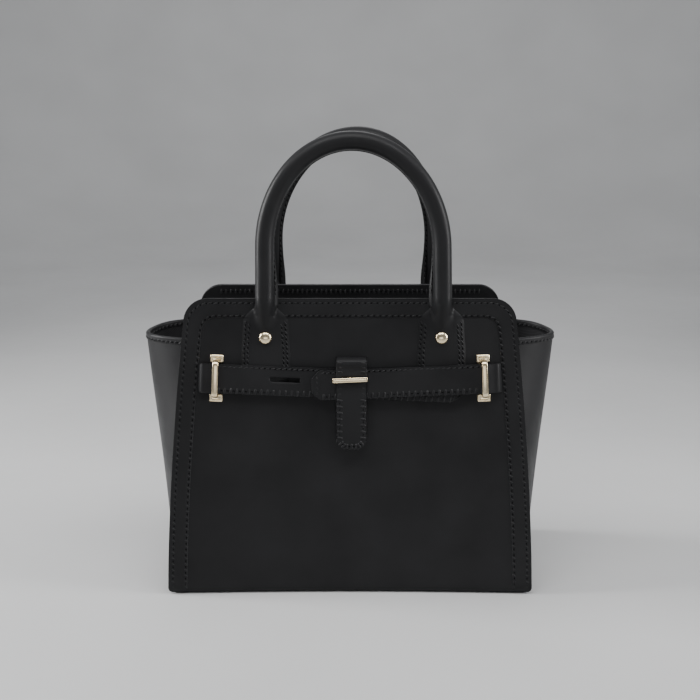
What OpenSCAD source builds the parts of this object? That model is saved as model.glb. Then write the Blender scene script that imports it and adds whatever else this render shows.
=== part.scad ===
/* [Body] */
// Distance from the centre of a handle tab to the wall's side, at the foot
tab_side = 79.2; // [76:0.1:110]
// Depth of the bag at its base, over both walls
base_d = 142; // [120:1:180]
// Depth at the top edge, over both walls
top_d = 88; // [80:1:112]
// Height of the body, from the floor to the top edge
body_h = 243; // [230:1:300]
// How much narrower each side of a wall is at the top than at its foot
side_drop = 17.8; // [6:0.1:30]
// Radius of the walls' top corners
corner_r = 16; // [8:0.5:24]
// Radius of the walls' bottom corners
foot_r = 4; // [2:0.5:8]
// Radius of the rolled lower edge
roll_r = 5; // [3:0.5:5]
// How far each wall turns under the base
turn_in = 12; // [8:0.5:20]

/* [Wings] */
// How far the gussets' rims lie below the top edge
rim_drop = 33; // [25:1:60]
// How far the gusset creases stand out past the wall's foot, at the rim
wing_reach = 23.6; // [15:0.1:40]
// Inset of a gusset's corner from the wall's edge
gusset_inset = 3; // [2:0.5:5]
// Width of a gusset's seam flange
flange_w = 8.5; // [6:0.5:10]
// Depth of the binding on a gusset's rim
binding_h = 5; // [3:0.5:8]

/* [Leather] */
// Thickness of the walls and the base
wall_t = 2; // [1.6:0.1:2.2]
// Thickness of the border sewn on each wall
border_t = 1; // [0.6:0.1:1.4]
// Width of that border
border_w = 15.5; // [12:0.5:17]
// Thickness of the gussets and of the facings
gusset_t = 1.4; // [1.2:0.1:1.8]
// Thickness of the rim bindings
binding_t = 0.8; // [0.5:0.1:1.2]
// Thickness of the lining
lining_t = 0.6; // [0.4:0.1:0.9]
// Thickness of the wall stiffeners
stiffener_t = 0.8; // [0.6:0.1:1.1]
// Thickness of the board in the base
board_t = 2; // [1:0.1:3]

/* [Handles] */
// Distance between the centres of a handle's two tabs
tab_pitch = 141.6; // [130:0.1:150]
// How far the handles sit to the right of the centre line
handle_shift = 2.8; // [0:0.1:4]
// Diameter of the rolled handles
handle_dia = 14.8; // [12:0.2:18]
// Diameter of the filler cord inside the handles
core_dia = 12; // [9:0.2:12]
// Rise of the front handle's centre line above its hinge
front_rise = 122; // [110:1:140]
// Rise of the back handle's centre line above its hinge
back_rise = 128; // [110:1:140]
// Height of the straight legs below the arch
leg_h = 39; // [20:1:50]
// Height of the sewn seam that stands out along each handle
seam_h = 3; // [1.5:0.1:4]
// Width of that seam
seam_w = 2.4; // [1.6:0.1:3]
// Thickness of the tabs
tab_t = 1.8; // [1.4:0.1:2.2]
// Width of a tab below its shoulders
tab_w = 39.8; // [36:0.2:42]
// Length of a tab below the hinge
tab_len = 74; // [66:1:80]

/* [Straps] */
// Width of the two closing straps
strap_w = 24; // [20:0.5:26]
// Thickness of the straps
strap_t = 2; // [1.6:0.1:2.4]
// Slope of the straps, in degrees
strap_tilt = 3.2; // [2:0.1:4]
// Length of the slots in the straps
slot_len = 24; // [20:0.5:26]
// Height of the slots in the straps
slot_h = 4.6; // [4.4:0.1:5]
// Reach of the lower strap past the toggle
left_reach = 90.5; // [75:0.5:94]
// Reach of the upper strap past the toggle
right_reach = 31; // [26:0.5:34]
// Thickness of the centre tongue
tongue_t = 1.8; // [1.4:0.1:2.2]
// Width of the centre tongue
tongue_w = 24.8; // [20:0.2:28]
// Length of the tongue below the toggle
tongue_len = 57; // [45:1:70]

/* [Metal] */
// Diameter of the rivet domes
rivet_dia = 10; // [8:0.1:11]
// Diameter of the rivet posts
post_dia = 3; // [2.4:0.1:3.4]
// Length of the toggle bar
bar_len = 28.2; // [25:0.1:32]
// Height of the toggle bar
bar_h = 4; // [3.6:0.1:5]
// Thickness of the toggle bar
bar_t = 3; // [2:0.1:4]
// Diameter of the toggle stem
stem_dia = 4; // [3:0.1:4]
// Distance from the centre of a handle tab to the keeper beside it
keeper_out = 37.2; // [36:0.1:38]
// Width of the keeper feet
foot_w = 10.6; // [8:0.1:12]
// Length of a keeper foot
foot_len = 6.8; // [5:0.1:8]
// Width of the keeper bars
keeper_bar_w = 4.8; // [3:0.1:6]
// Clear height under a keeper bar
keeper_clear = 8.6; // [8.2:0.1:10]

/* [Hidden] */

// Colours
LEATHER = [0.06, 0.06, 0.07];
LEATHER_EDGE = [0.10, 0.10, 0.11];
CLOTH = [0.12, 0.12, 0.13];
BOARD = [0.45, 0.40, 0.33];
CORD = [0.75, 0.72, 0.66];
GOLD = [0.85, 0.76, 0.60];
STEEL = [0.62, 0.62, 0.64];

// Small working values
cut = 1;            // overrun of every cut
gap = 0.3;          // clearance between pieces that move or lie over each other
fit = 0.06;         // radial clearance of the turning stem
slit_gap = 0.15;    // clearance of leather in a slit
lining_gap = 0.5;   // clearance round the linings and boards

// Widths that follow from the handles' tabs, and the rims' height
base_w = tab_pitch + 2 * tab_side;
base_inset = 2.6;
base_half = base_w / 2 - base_inset;
wing_half = base_w / 2 + wing_reach;
keeper_x = tab_pitch / 2 + keeper_out;
rim_h = body_h - rim_drop;

// The slanted wall
lean = atan((base_d - top_d) / 2 / body_h);
wall_len = body_h / cos(lean);
side_power = 1.58;
crease_power = 6;
crease_rise_power = 0.71;
border_corner_r = max(corner_r - border_w / 2, border_t);
inner_w = -wall_t;
board_w = inner_w - stiffener_t;
lining_w = board_w - lining_t;
rim_v = (rim_h + binding_t) / cos(lean);
panel_inset = gusset_inset + flange_w + lining_gap;
lining_foot = wall_t + board_t + lining_t + lining_gap;

// Places in the wall's own plane: u across, v up the slope, w outward
hinge_over = 1.8;
rivet_drop = 33.5;
hinge_v = wall_len + hinge_over;
handle_r = handle_dia / 2;
core_r = core_dia / 2;
hinge_w = border_t + gap + handle_r;
tab_top_w = border_t + tab_t;
rivet_v = hinge_v - rivet_drop;
nose_slope = 30;
dome_h = 2.8;
washer_r = 4;

strap_drop = 70.9;
toggle_rise = 6;
slit_rise = 17.4;
ramp_len = 14;
strap_v = wall_len - strap_drop;
low_w = tab_top_w + gap;
high_w = low_w + strap_t + gap;
tongue_w0 = high_w + strap_t + gap;
bar_w0 = tongue_w0 + tongue_t + gap;
slit_u = keeper_x + ramp_len;
ramp_start_w = 0.4;
strap_round = 1.4;
strap_chamfer = 6.5;
skived_len = 12;
toggle_v = strap_v + toggle_rise;
spare_pitch = 52.5;
spare_rise = 3.2;
tongue_slit_v = toggle_v + slit_rise;
tongue_slot = 17;
tongue_chamfer = 6.6;
tongue_u = 1.2;
tongue_fold = 2.6;
below_bar = 1;
tongue_split_v = toggle_v - norm([bar_len, bar_h]) / 2 - below_bar;
tongue_axis_v = tongue_split_v - tongue_t / 2 - gap;
tongue_axis_w = tongue_w0 + tongue_t / 2;
bar_tilt = 2.5;
bar_bevel = 0.5;

stem_r = stem_dia / 2;
stem_head_r = 3.4;
stem_head_t = 0.5;
bush_flange_r = 6.5;
bush_flange_t = 1.4;
bush_r = 4.6;
bush_depth_share = 0.8;
bush_depth = wall_t * bush_depth_share;
ring_r = 8;
keeper_post_t = 3;
keeper_bar_t = 2.5;
keeper_chamfer = 0.6;
foot_t = 1.5;
foot_bevel = 0.6;
foot_rim_t = 0.5;
prong_r = 1.2;
plate_w = 9;
plate_len = 6;
keeper_side_gap = 0.4;
keeper_gap = strap_w + 2 * keeper_side_gap;
foot_y = keeper_gap / 2 + foot_len / 2;

// The handles' line and the rims' binding
leg_draw_share = 0.02;
seam_angle = 215;
front_sway = -1.5;
back_sway = -3;
binding_start_share = 0.3;

// Fineness of the curves
ROUND = 48;
CORNER_STEPS = 6;
SIDE_STEPS = 10;
GUSSET_ROWS = 9;
CREASE_STEPS = 6;
ARCH_STEPS = 24;
TUBE_SIDES = 14;
END_STEPS = 3;

// Half width of a wall at height v up its slope
function half_at(v) = base_w / 2 - side_drop * pow(max(v, 0) / wall_len, side_power);
// Depth of the bag at height z
function depth_at(z) = base_d - (base_d - top_d) * z / body_h;

// Right-hand half of a wall's outline, drawn in by inset, from height low up to height high
function half_outline(inset, low, high, top_r, low_r) =
    let (
        side_a = atan(side_drop * side_power / wall_len),
        arc_v = high - top_r,
        join_v = arc_v + top_r * sin(side_a),
        arc_u = half_at(join_v) - inset - top_r * cos(side_a),
        low_u = half_at(low + low_r) - inset - low_r
    )
    concat(
        [for (i = [0 : CORNER_STEPS])
            let (a = -90 + 90 * i / CORNER_STEPS)
            [low_u + low_r * cos(a), low + low_r + low_r * sin(a)]],
        [for (i = [1 : SIDE_STEPS - 1])
            let (v = low + low_r + (join_v - low - low_r) * i / SIDE_STEPS)
            [half_at(v) - inset, v]],
        [for (i = [0 : CORNER_STEPS])
            let (a = side_a + (90 - side_a) * i / CORNER_STEPS)
            [arc_u + top_r * cos(a), arc_v + top_r * sin(a)]]
    );
function mirrored(points) = [for (i = [len(points) - 1 : -1 : 0]) [-points[i][0], points[i][1]]];

module outline(inset, low, high, top_r, low_r) {
    right = half_outline(inset, low, high, top_r, low_r);
    polygon(concat(right, mirrored(right)));
}

// Moves a shape from the wall's own plane to the front wall or the back wall
module on_front() {
    translate([0, -base_d / 2, 0]) rotate([90 - lean, 0, 0]) children();
}
module on_back() {
    rotate([0, 0, 180]) on_front() children();
}
// A flat piece of the wall's outline between two depths
module layer(from_w, to_w) {
    translate([0, 0, from_w]) linear_extrude(to_w - from_w) children();
}

// Places where something passes through a wall or lies behind it
module at_rivets(side) {
    for (s = [-1, 1]) translate([side * handle_shift + s * tab_pitch / 2, rivet_v, 0]) children();
}
module at_keeper(s) {
    translate([s * keeper_x, strap_v + keeper_x * tan(strap_tilt), 0]) rotate(s * strap_tilt) children();
}
module at_feet() {
    for (s = [-1, 1], e = [-1, 1]) at_keeper(s) translate([0, e * foot_y, 0]) children();
}
module at_slit(s) {
    translate([s * slit_u, strap_v + slit_u * tan(strap_tilt), 0]) rotate(s * strap_tilt) children();
}

// The wall with its rolled lower edge, seen from the side
function wall_profile() =
    let (
        y_out = -base_d / 2,
        arc_y = y_out + roll_r * (1 + sin(lean)) / cos(lean),
        top_y = -top_d / 2,
        t = wall_t / cos(lean)
    )
    concat(
        [[y_out + turn_in, 0]],
        [for (i = [0 : CORNER_STEPS])
            let (a = 270 - (90 + lean) * i / CORNER_STEPS)
            [arc_y + roll_r * cos(a), roll_r + roll_r * sin(a)]],
        [[top_y + cut * tan(lean), body_h + cut], [top_y + t + cut * tan(lean), body_h + cut],
         [y_out + t + wall_t * tan(lean), wall_t], [y_out + turn_in, wall_t]]
    );
module wall() {
    intersection() {
        translate([-base_w, 0, 0]) rotate([90, 0, 90]) linear_extrude(2 * base_w)
            polygon(wall_profile());
        on_front() layer(-turn_in - wall_t, cut)
            outline(0, 0, wall_len, corner_r, foot_r);
    }
}
module rivet_holes(side) {
    at_rivets(side) translate([0, 0, -wall_t - cut])
        cylinder(h = wall_t + border_t + tab_t + 2 * cut, r = post_dia / 2, $fn = ROUND);
}
module front_panel() {
    color(LEATHER) difference() {
        wall();
        on_front() {
            rivet_holes(1);
            at_feet() translate([0, 0, -wall_t - cut])
                cylinder(h = wall_t + 2 * cut, r = prong_r, $fn = ROUND);
            for (s = [-1, 1]) at_slit(s)
                translate([s > 0 ? -strap_t - slit_gap : -slit_gap, -strap_w / 2 - slit_gap, -wall_t - cut])
                    cube([strap_t + 2 * slit_gap, strap_w + 2 * slit_gap, wall_t + 2 * cut]);
            translate([tongue_u, tongue_slit_v - tongue_t / 2, -wall_t / 2])
                cube([tongue_w + 2 * slit_gap, tongue_t + 2 * slit_gap, wall_t + 2 * cut], center = true);
            translate([0, toggle_v, -wall_t - cut])
                cylinder(h = wall_t + 2 * cut, r = bush_r, $fn = ROUND);
        }
    }
}
module back_panel() {
    color(LEATHER) difference() {
        rotate([0, 0, 180]) wall();
        on_back() rivet_holes(-1);
    }
}
module base_panel() {
    color(LEATHER) translate([-base_half, -base_d / 2 + turn_in, 0])
        cube([2 * base_half, base_d - 2 * turn_in, wall_t]);
}

// A gusset's crease and its flanges in plan, at height z and set in by off from its outer face
function crease_x(z) = base_half + (wing_half - base_half) * pow(z / rim_h, crease_rise_power);
function flange_y(z, off) = depth_at(z) / 2 - (wall_t + off) / cos(lean);
function corner_x(z) = half_at(z / cos(lean)) - gusset_inset;
// Outer half of a gusset's plan: flange end, corner, then the curved wing up to its crease
function wing_plan(z, off) =
    let (
        cx = corner_x(z),
        fy = flange_y(z, 0),
        tip = crease_x(z),
        a = atan2(tip - cx, fy),
        bx = cx - off * tan((90 - a) / 2),
        tx = tip - off / cos(a),
        bulge = 1 / (crease_power - 1)
    )
    concat(
        [[cx - flange_w, flange_y(z, off)]],
        [[bx, flange_y(z, off)]],
        [for (i = concat([binding_start_share], [for (k = [1 : CREASE_STEPS]) k]))
            let (s = i / CREASE_STEPS, out = (1 + bulge) * s - bulge * pow(s, crease_power))
            [bx + (tx - bx) * out, flange_y(z, off) * (1 - s)]]
    );
function gusset_line(z, off) =
    let (half = wing_plan(z, off))
    concat(
        [for (p = half) [p[0], -p[1], z]],
        [for (i = [len(half) - 2 : -1 : 0]) [half[i][0], half[i][1], z]]
    );
gusset_heights = concat(
    [for (i = [0 : GUSSET_ROWS - 1]) wall_t + (rim_h - binding_h - wall_t) * i / (GUSSET_ROWS - 1)],
    [rim_h]
);

// Closed shell between two sheets of points that have as many rows and columns
module shell(outer, inner) {
    rows = len(outer);
    cols = len(outer[0]);
    total = rows * cols;
    function at(r, c, sheet) = sheet * total + r * cols + c;
    points = concat([for (row = outer) each row], [for (row = inner) each row]);
    sheet_faces = [for (r = [0 : rows - 2], c = [0 : cols - 2]) each [
        [at(r, c, 0), at(r + 1, c, 0), at(r + 1, c + 1, 0)],
        [at(r, c, 0), at(r + 1, c + 1, 0), at(r, c + 1, 0)],
        [at(r, c, 1), at(r + 1, c + 1, 1), at(r + 1, c, 1)],
        [at(r, c, 1), at(r, c + 1, 1), at(r + 1, c + 1, 1)]
    ]];
    end_faces = [for (r = [0 : rows - 2]) each [
        [at(r, 0, 0), at(r + 1, 0, 1), at(r + 1, 0, 0)],
        [at(r, 0, 0), at(r, 0, 1), at(r + 1, 0, 1)],
        [at(r, cols - 1, 0), at(r + 1, cols - 1, 0), at(r + 1, cols - 1, 1)],
        [at(r, cols - 1, 0), at(r + 1, cols - 1, 1), at(r, cols - 1, 1)]
    ]];
    rim_faces = [for (c = [0 : cols - 2]) each [
        [at(0, c, 0), at(0, c + 1, 0), at(0, c + 1, 1)],
        [at(0, c, 0), at(0, c + 1, 1), at(0, c, 1)],
        [at(rows - 1, c, 0), at(rows - 1, c + 1, 1), at(rows - 1, c + 1, 0)],
        [at(rows - 1, c, 0), at(rows - 1, c, 1), at(rows - 1, c + 1, 1)]
    ]];
    polyhedron(points, concat(sheet_faces, end_faces, rim_faces));
}
module gusset_shell(from_off, to_off) {
    shell([for (z = gusset_heights) gusset_line(z, from_off)],
        [for (z = gusset_heights) gusset_line(z, to_off)]);
}
module right_gusset() {
    color(LEATHER) gusset_shell(0, gusset_t);
}
module left_gusset() {
    color(LEATHER) mirror([1, 0, 0]) gusset_shell(0, gusset_t);
}
module right_lining() {
    color(CLOTH) gusset_shell(gusset_t, gusset_t + lining_t);
}
module left_lining() {
    color(CLOTH) mirror([1, 0, 0]) gusset_shell(gusset_t, gusset_t + lining_t);
}

// The folded strip that binds a gusset's rim, swept from wall to wall
module rim_binding() {
    low = rim_h - binding_h;
    top = rim_h + binding_t;
    thick = gusset_t + lining_t;
    corners = [
        gusset_line(low, -binding_t), gusset_line(top, -binding_t),
        gusset_line(top, thick + binding_t), gusset_line(low, thick + binding_t),
        gusset_line(low, thick), gusset_line(rim_h, thick),
        gusset_line(rim_h, 0), gusset_line(low, 0)
    ];
    last = len(corners[0]) - 1;
    rings = [for (c = [2 : last - 2]) [for (line = corners) line[c]]];
    n = len(corners);
    e = (len(rings) - 1) * n;
    function at(r, k) = r * n + k % n;
    walls = [for (r = [0 : len(rings) - 2], k = [0 : n - 1]) each k + 2 < n ? [
        [at(r, k), at(r, k + 1), at(r + 1, k + 1)],
        [at(r, k), at(r + 1, k + 1), at(r + 1, k)]
    ] : [
        [at(r, k), at(r, k + 1), at(r + 1, k)],
        [at(r, k + 1), at(r + 1, k + 1), at(r + 1, k)]
    ]];
    caps = [for (q = [[0, 1, 6, 7], [1, 2, 5, 6], [2, 3, 4, 5]]) each [
        [q[0], q[2], q[1]], [q[0], q[3], q[2]],
        [e + q[0], e + q[1], e + q[2]], [e + q[0], e + q[2], e + q[3]]
    ]];
    polyhedron([for (ring = rings) each ring], concat(walls, caps));
}
module right_rim_binding() {
    color(LEATHER_EDGE) rim_binding();
}
module left_rim_binding() {
    color(LEATHER_EDGE) mirror([1, 0, 0]) rim_binding();
}

// The border round a wall's sides and top
module border_shape() {
    difference() {
        outline(0, roll_r + border_t, wall_len, corner_r, border_t);
        outline(border_w, -cut, wall_len - border_w, border_corner_r, border_t);
    }
}
module border() {
    layer(0, border_t) border_shape();
}
module front_border() {
    color(LEATHER) on_front() border();
}
module back_border() {
    color(LEATHER) on_back() border();
}

// Facings inside the top edges, stiffeners and linings
module facing(side) {
    difference() {
        layer(inner_w - gusset_t, inner_w) intersection() {
            outline(0, 0, wall_len, corner_r, foot_r);
            translate([-base_w / 2, rim_v + gap]) square([base_w, wall_len]);
        }
        washer_seats(side);
    }
}
module washer_seats(side) {
    at_rivets(side) translate([0, 0, board_w])
        cylinder(h = stiffener_t + cut, r = washer_r + slit_gap, $fn = ROUND);
}
module front_facing() {
    color(LEATHER) on_front() facing(1);
}
module back_facing() {
    color(LEATHER) on_back() facing(-1);
}
module inner_shape() {
    outline(panel_inset, lining_foot, rim_v, foot_r, foot_r);
}
module front_stiffener() {
    color(BOARD) on_front() difference() {
        layer(board_w, inner_w) inner_shape();
        translate([0, 0, -cut]) washer_seats(1);
        washer_seats(1);
        at_feet() translate([-plate_w / 2 - slit_gap, -plate_len / 2 - slit_gap, board_w - cut])
            cube([plate_w + 2 * slit_gap, plate_len + 2 * slit_gap, stiffener_t + 2 * cut]);
        for (s = [-1, 1]) at_slit(s)
            translate([s > 0 ? -skived_len - slit_gap : -slit_gap, -strap_w / 2 - slit_gap, board_w - cut])
                cube([skived_len + 2 * slit_gap, strap_w + 2 * slit_gap, stiffener_t + 2 * cut]);
        translate([tongue_u - tongue_w / 2 - slit_gap, tongue_slit_v - tongue_t - slit_gap, board_w - cut])
            cube([tongue_w + 2 * slit_gap, tongue_t + skived_len + 2 * slit_gap, stiffener_t + 2 * cut]);
        translate([0, toggle_v, board_w - cut])
            cylinder(h = stiffener_t + 2 * cut, r = ring_r + slit_gap, $fn = ROUND);
    }
}
module back_stiffener() {
    color(BOARD) on_back() difference() {
        layer(board_w, inner_w) inner_shape();
        translate([0, 0, -cut]) washer_seats(-1);
        washer_seats(-1);
    }
}
module front_lining() {
    color(CLOTH) on_front() layer(lining_w, board_w) inner_shape();
}
module back_lining() {
    color(CLOTH) on_back() layer(lining_w, board_w) inner_shape();
}
board_half_w = corner_x(lining_foot) - gusset_t - lining_t - lining_gap;
board_half_d = flange_y(lining_foot, gusset_t + lining_t) - lining_gap;
module base_slab(from_z, thick) {
    translate([-board_half_w, -board_half_d, from_z]) cube([2 * board_half_w, 2 * board_half_d, thick]);
}
module base_board() {
    color(BOARD) base_slab(wall_t, board_t);
}
module base_lining() {
    color(CLOTH) base_slab(wall_t + board_t, lining_t);
}

// Handle tabs: a shaped strap end that the handle's filler swells at its neck
TAB_SHARES = [
    [0.06, 0.38], [0.11, 0.4], [0.16, 0.58], [0.21, 0.81], [0.265, 0.915],
    [0.45, 0.95], [0.6, 1], [0.9, 1], [1, 0.66]
];
module tab_shape() {
    right = [for (p = TAB_SHARES) [p[1] * tab_w / 2, -p[0] * tab_len]];
    left = [for (i = [len(right) - 1 : -1 : 0]) [-right[i][0], right[i][1]]];
    polygon(concat(right, left));
}
module tab_nose() {
    run = (hinge_w + 2 * handle_r) / sin(nose_slope);
    intersection() {
        translate([0, 0, hinge_w]) rotate([90 + nose_slope, 0, 0])
            cylinder(h = run, r = handle_r, $fn = ROUND);
        translate([-handle_dia, -run, 0]) cube([2 * handle_dia, run, 2 * handle_dia]);
    }
}
module tab(u) {
    reach = handle_r + seam_h + gap;
    difference() {
        translate([u, hinge_v, 0]) difference() {
            union() {
                layer(0, tab_top_w) tab_shape();
                tab_nose();
            }
            translate([-reach, 0, hinge_w]) rotate([0, 90, 0])
                cylinder(h = 2 * reach, r = handle_r + gap, $fn = ROUND);
            translate([0, rivet_v - hinge_v, -cut])
                cylinder(h = tab_top_w + 2 * cut, r = post_dia / 2, $fn = ROUND);
        }
        layer(-cut, border_t) border_shape();
    }
}
module front_left_tab() {
    color(LEATHER) on_front() tab(handle_shift - tab_pitch / 2);
}
module front_right_tab() {
    color(LEATHER) on_front() tab(handle_shift + tab_pitch / 2);
}
module back_left_tab() {
    color(LEATHER) on_back() tab(-handle_shift + tab_pitch / 2);
}
module back_right_tab() {
    color(LEATHER) on_back() tab(-handle_shift - tab_pitch / 2);
}

// Rivets with a domed head, a post through tab and wall, and a washer inside
module rivet() {
    dome = [for (i = [0 : CORNER_STEPS])
        let (a = 90 * i / CORNER_STEPS)
        [rivet_dia / 2 * cos(a), tab_top_w + dome_h * sin(a)]];
    rotate_extrude($fn = ROUND)
        polygon(concat([[0, board_w], [post_dia / 2, board_w], [post_dia / 2, tab_top_w]], dome));
}
module front_rivets() {
    color(GOLD) on_front() at_rivets(1) rivet();
}
module back_rivets() {
    color(GOLD) on_back() at_rivets(-1) rivet();
}
module washer() {
    translate([0, 0, board_w]) difference() {
        cylinder(h = stiffener_t, r = washer_r, $fn = ROUND);
        translate([0, 0, -cut]) cylinder(h = stiffener_t + 2 * cut, r = post_dia / 2, $fn = ROUND);
    }
}
module rivet_washers() {
    color(STEEL) {
        on_front() at_rivets(1) washer();
        on_back() at_rivets(-1) washer();
    }
}

// Keepers: a bar on two posts that stand on bevelled feet, each foot held by a prong and a plate
module keeper() {
    bar_low = keeper_clear;
    half = keeper_gap / 2 + keeper_post_t;
    for (e = [-1, 1]) {
        translate([-foot_w / 2, e * foot_y - foot_len / 2, 0]) cube([foot_w, foot_len, foot_t - foot_rim_t]);
        translate([-foot_w / 2 + foot_bevel, e * foot_y - foot_len / 2 + foot_bevel, foot_t - foot_rim_t])
            cube([foot_w - 2 * foot_bevel, foot_len - 2 * foot_bevel, foot_rim_t]);
        translate([-keeper_bar_w / 2, e > 0 ? keeper_gap / 2 : -half, 0])
            cube([keeper_bar_w, keeper_post_t, bar_low + keeper_bar_t / 2]);
        translate([0, e * foot_y, board_w]) cylinder(h = -board_w + foot_t / 2, r = prong_r, $fn = ROUND);
    }
    translate([0, half, bar_low]) rotate([90, 0, 0]) linear_extrude(2 * half) polygon([
        [-keeper_bar_w / 2, 0], [keeper_bar_w / 2, 0],
        [keeper_bar_w / 2, keeper_bar_t - keeper_chamfer],
        [keeper_bar_w / 2 - keeper_chamfer, keeper_bar_t],
        [-keeper_bar_w / 2 + keeper_chamfer, keeper_bar_t],
        [-keeper_bar_w / 2, keeper_bar_t - keeper_chamfer]
    ]);
}
module left_keeper() {
    color(GOLD) on_front() at_keeper(-1) keeper();
}
module right_keeper() {
    color(GOLD) on_front() at_keeper(1) keeper();
}
module keeper_backing_plates() {
    color(STEEL) on_front() at_feet() difference() {
        translate([-plate_w / 2, -plate_len / 2, board_w]) cube([plate_w, plate_len, stiffener_t]);
        translate([0, 0, board_w - cut]) cylinder(h = stiffener_t + 2 * cut, r = prong_r, $fn = ROUND);
    }
}

// A closing strap in its own line: out of its slit at the left, up a ramp, along at one level
function strap_side(reach, level) =
    let (start = -slit_u / cos(strap_tilt))
    [
        [start, board_w], [start + skived_len, board_w], [start + skived_len, inner_w],
        [start + strap_t, inner_w], [start + strap_t, ramp_start_w],
        [start + ramp_len, level], [reach, level], [reach, level + strap_t],
        [start + ramp_len - strap_round, level + strap_t],
        [start + strap_round, ramp_start_w + strap_t + strap_round],
        [start, ramp_start_w + strap_round]
    ];
module strap_band(reach, level) {
    translate([0, strap_w / 2, 0]) rotate([90, 0, 0])
        linear_extrude(strap_w) polygon(strap_side(reach, level));
}
module slot_at(along, rise, length, low) {
    translate([along - length / 2, rise - slot_h / 2, low - cut]) cube([length, slot_h, strap_t + 2 * cut]);
}
module left_strap() {
    color(LEATHER) on_front() translate([0, strap_v, 0]) rotate(-strap_tilt) difference() {
        intersection() {
            strap_band(left_reach, low_w);
            layer(board_w - cut, high_w) union() {
                translate([-base_w / 2, -strap_w / 2])
                    square([base_w / 2 + left_reach - strap_w / 2, strap_w]);
                translate([left_reach - strap_w / 2, 0]) circle(r = strap_w / 2, $fn = ROUND);
            }
        }
        slot_at((toggle_v - strap_v) * -sin(strap_tilt), toggle_v - strap_v, slot_len, low_w);
        slot_at(-spare_pitch, spare_rise, slot_len, low_w);
    }
}
module right_strap() {
    color(LEATHER) on_front() translate([0, strap_v, 0]) rotate(strap_tilt) mirror([1, 0, 0]) difference() {
        intersection() {
            strap_band(right_reach, high_w);
            layer(board_w - cut, tongue_w0) polygon([
                [-base_w / 2, -strap_w / 2], [right_reach - strap_chamfer, -strap_w / 2],
                [right_reach, -strap_w / 2 + strap_chamfer], [right_reach, strap_w / 2 - strap_chamfer],
                [right_reach - strap_chamfer, strap_w / 2], [-base_w / 2, strap_w / 2]
            ]);
        }
        slot_at((toggle_v - strap_v) * -sin(strap_tilt), toggle_v - strap_v, slot_len, high_w);
    }
}

// The centre tongue: its root comes out of a slit and carries the toggle's slot
module tongue_root() {
    s = tongue_slit_v;
    t = tongue_t;
    top = tongue_w0 + t;
    fold = tongue_fold;
    side = [
        [s + skived_len, board_w], [s + skived_len, inner_w], [s, inner_w],
        [s, tongue_w0 - fold], [s - fold / 2, tongue_w0 + t / 2], [s - fold - t, top],
        [tongue_split_v, top], [tongue_split_v, tongue_w0],
        [s - fold - t, tongue_w0], [s - t, tongue_w0 - fold - t], [s - t, board_w]
    ];
    color(LEATHER) on_front() difference() {
        translate([tongue_u - tongue_w / 2, 0, 0]) rotate([90, 0, 90]) linear_extrude(tongue_w) polygon(side);
        translate([-tongue_slot / 2, toggle_v - slot_h / 2, tongue_w0 - cut])
            cube([tongue_slot, slot_h, t + 2 * cut]);
    }
}
module tongue_flap() {
    tip = toggle_v - tongue_len;
    half = tongue_w / 2;
    color(LEATHER) on_front() translate([tongue_u, 0, 0]) union() {
        layer(tongue_w0, tongue_w0 + tongue_t) polygon([
            [-half, tongue_axis_v], [half, tongue_axis_v], [half, tip + tongue_chamfer],
            [half - tongue_chamfer, tip], [-half + tongue_chamfer, tip], [-half, tip + tongue_chamfer]
        ]);
        translate([-half, tongue_axis_v, tongue_axis_w]) rotate([0, 90, 0])
            cylinder(h = tongue_w, r = tongue_t / 2, $fn = ROUND);
    }
}

// The toggle: a bush in the wall, a stem that turns in it, and the bar on the stem
module toggle_bush() {
    color(GOLD) on_front() translate([0, toggle_v, 0]) difference() {
        union() {
            cylinder(h = bush_flange_t, r = bush_flange_r, $fn = ROUND);
            translate([0, 0, board_w]) cylinder(h = -board_w, r = bush_r, $fn = ROUND);
        }
        translate([0, 0, board_w - cut])
            cylinder(h = -board_w + bush_flange_t + 2 * cut, r = stem_r + fit, $fn = ROUND);
        translate([0, 0, board_w - cut])
            cylinder(h = -board_w - bush_depth + cut, r = stem_head_r + fit, $fn = ROUND);
    }
}
module toggle_backing_ring() {
    color(STEEL) on_front() translate([0, toggle_v, board_w]) difference() {
        cylinder(h = stiffener_t, r = ring_r, $fn = ROUND);
        translate([0, 0, -cut]) cylinder(h = stiffener_t + 2 * cut, r = bush_r, $fn = ROUND);
    }
}
module toggle_stem() {
    head_w = -bush_depth - fit - stem_head_t;
    color(GOLD) on_front() translate([0, toggle_v, 0]) union() {
        translate([0, 0, head_w]) cylinder(h = stem_head_t, r = stem_head_r, $fn = ROUND);
        translate([0, 0, head_w]) cylinder(h = bar_w0 - head_w, r = stem_r, $fn = ROUND);
        translate([0, 0, head_w]) cylinder(h = bar_w0 + bar_t / 2 - head_w, r = stem_r / 2, $fn = ROUND);
    }
}
module toggle_bar() {
    color(GOLD) on_front() translate([0, toggle_v, bar_w0]) rotate(bar_tilt) difference() {
        translate([-bar_len / 2, 0, 0]) rotate([90, 0, 90]) linear_extrude(bar_len) polygon([
            [-bar_h / 2, 0], [bar_h / 2, 0], [bar_h / 2, bar_t - bar_bevel],
            [bar_h / 2 - bar_bevel, bar_t], [-bar_h / 2 + bar_bevel, bar_t],
            [-bar_h / 2, bar_t - bar_bevel]
        ]);
        translate([0, 0, -cut]) cylinder(h = bar_t / 2 + cut, r = stem_r / 2, $fn = ROUND);
    }
}

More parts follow.
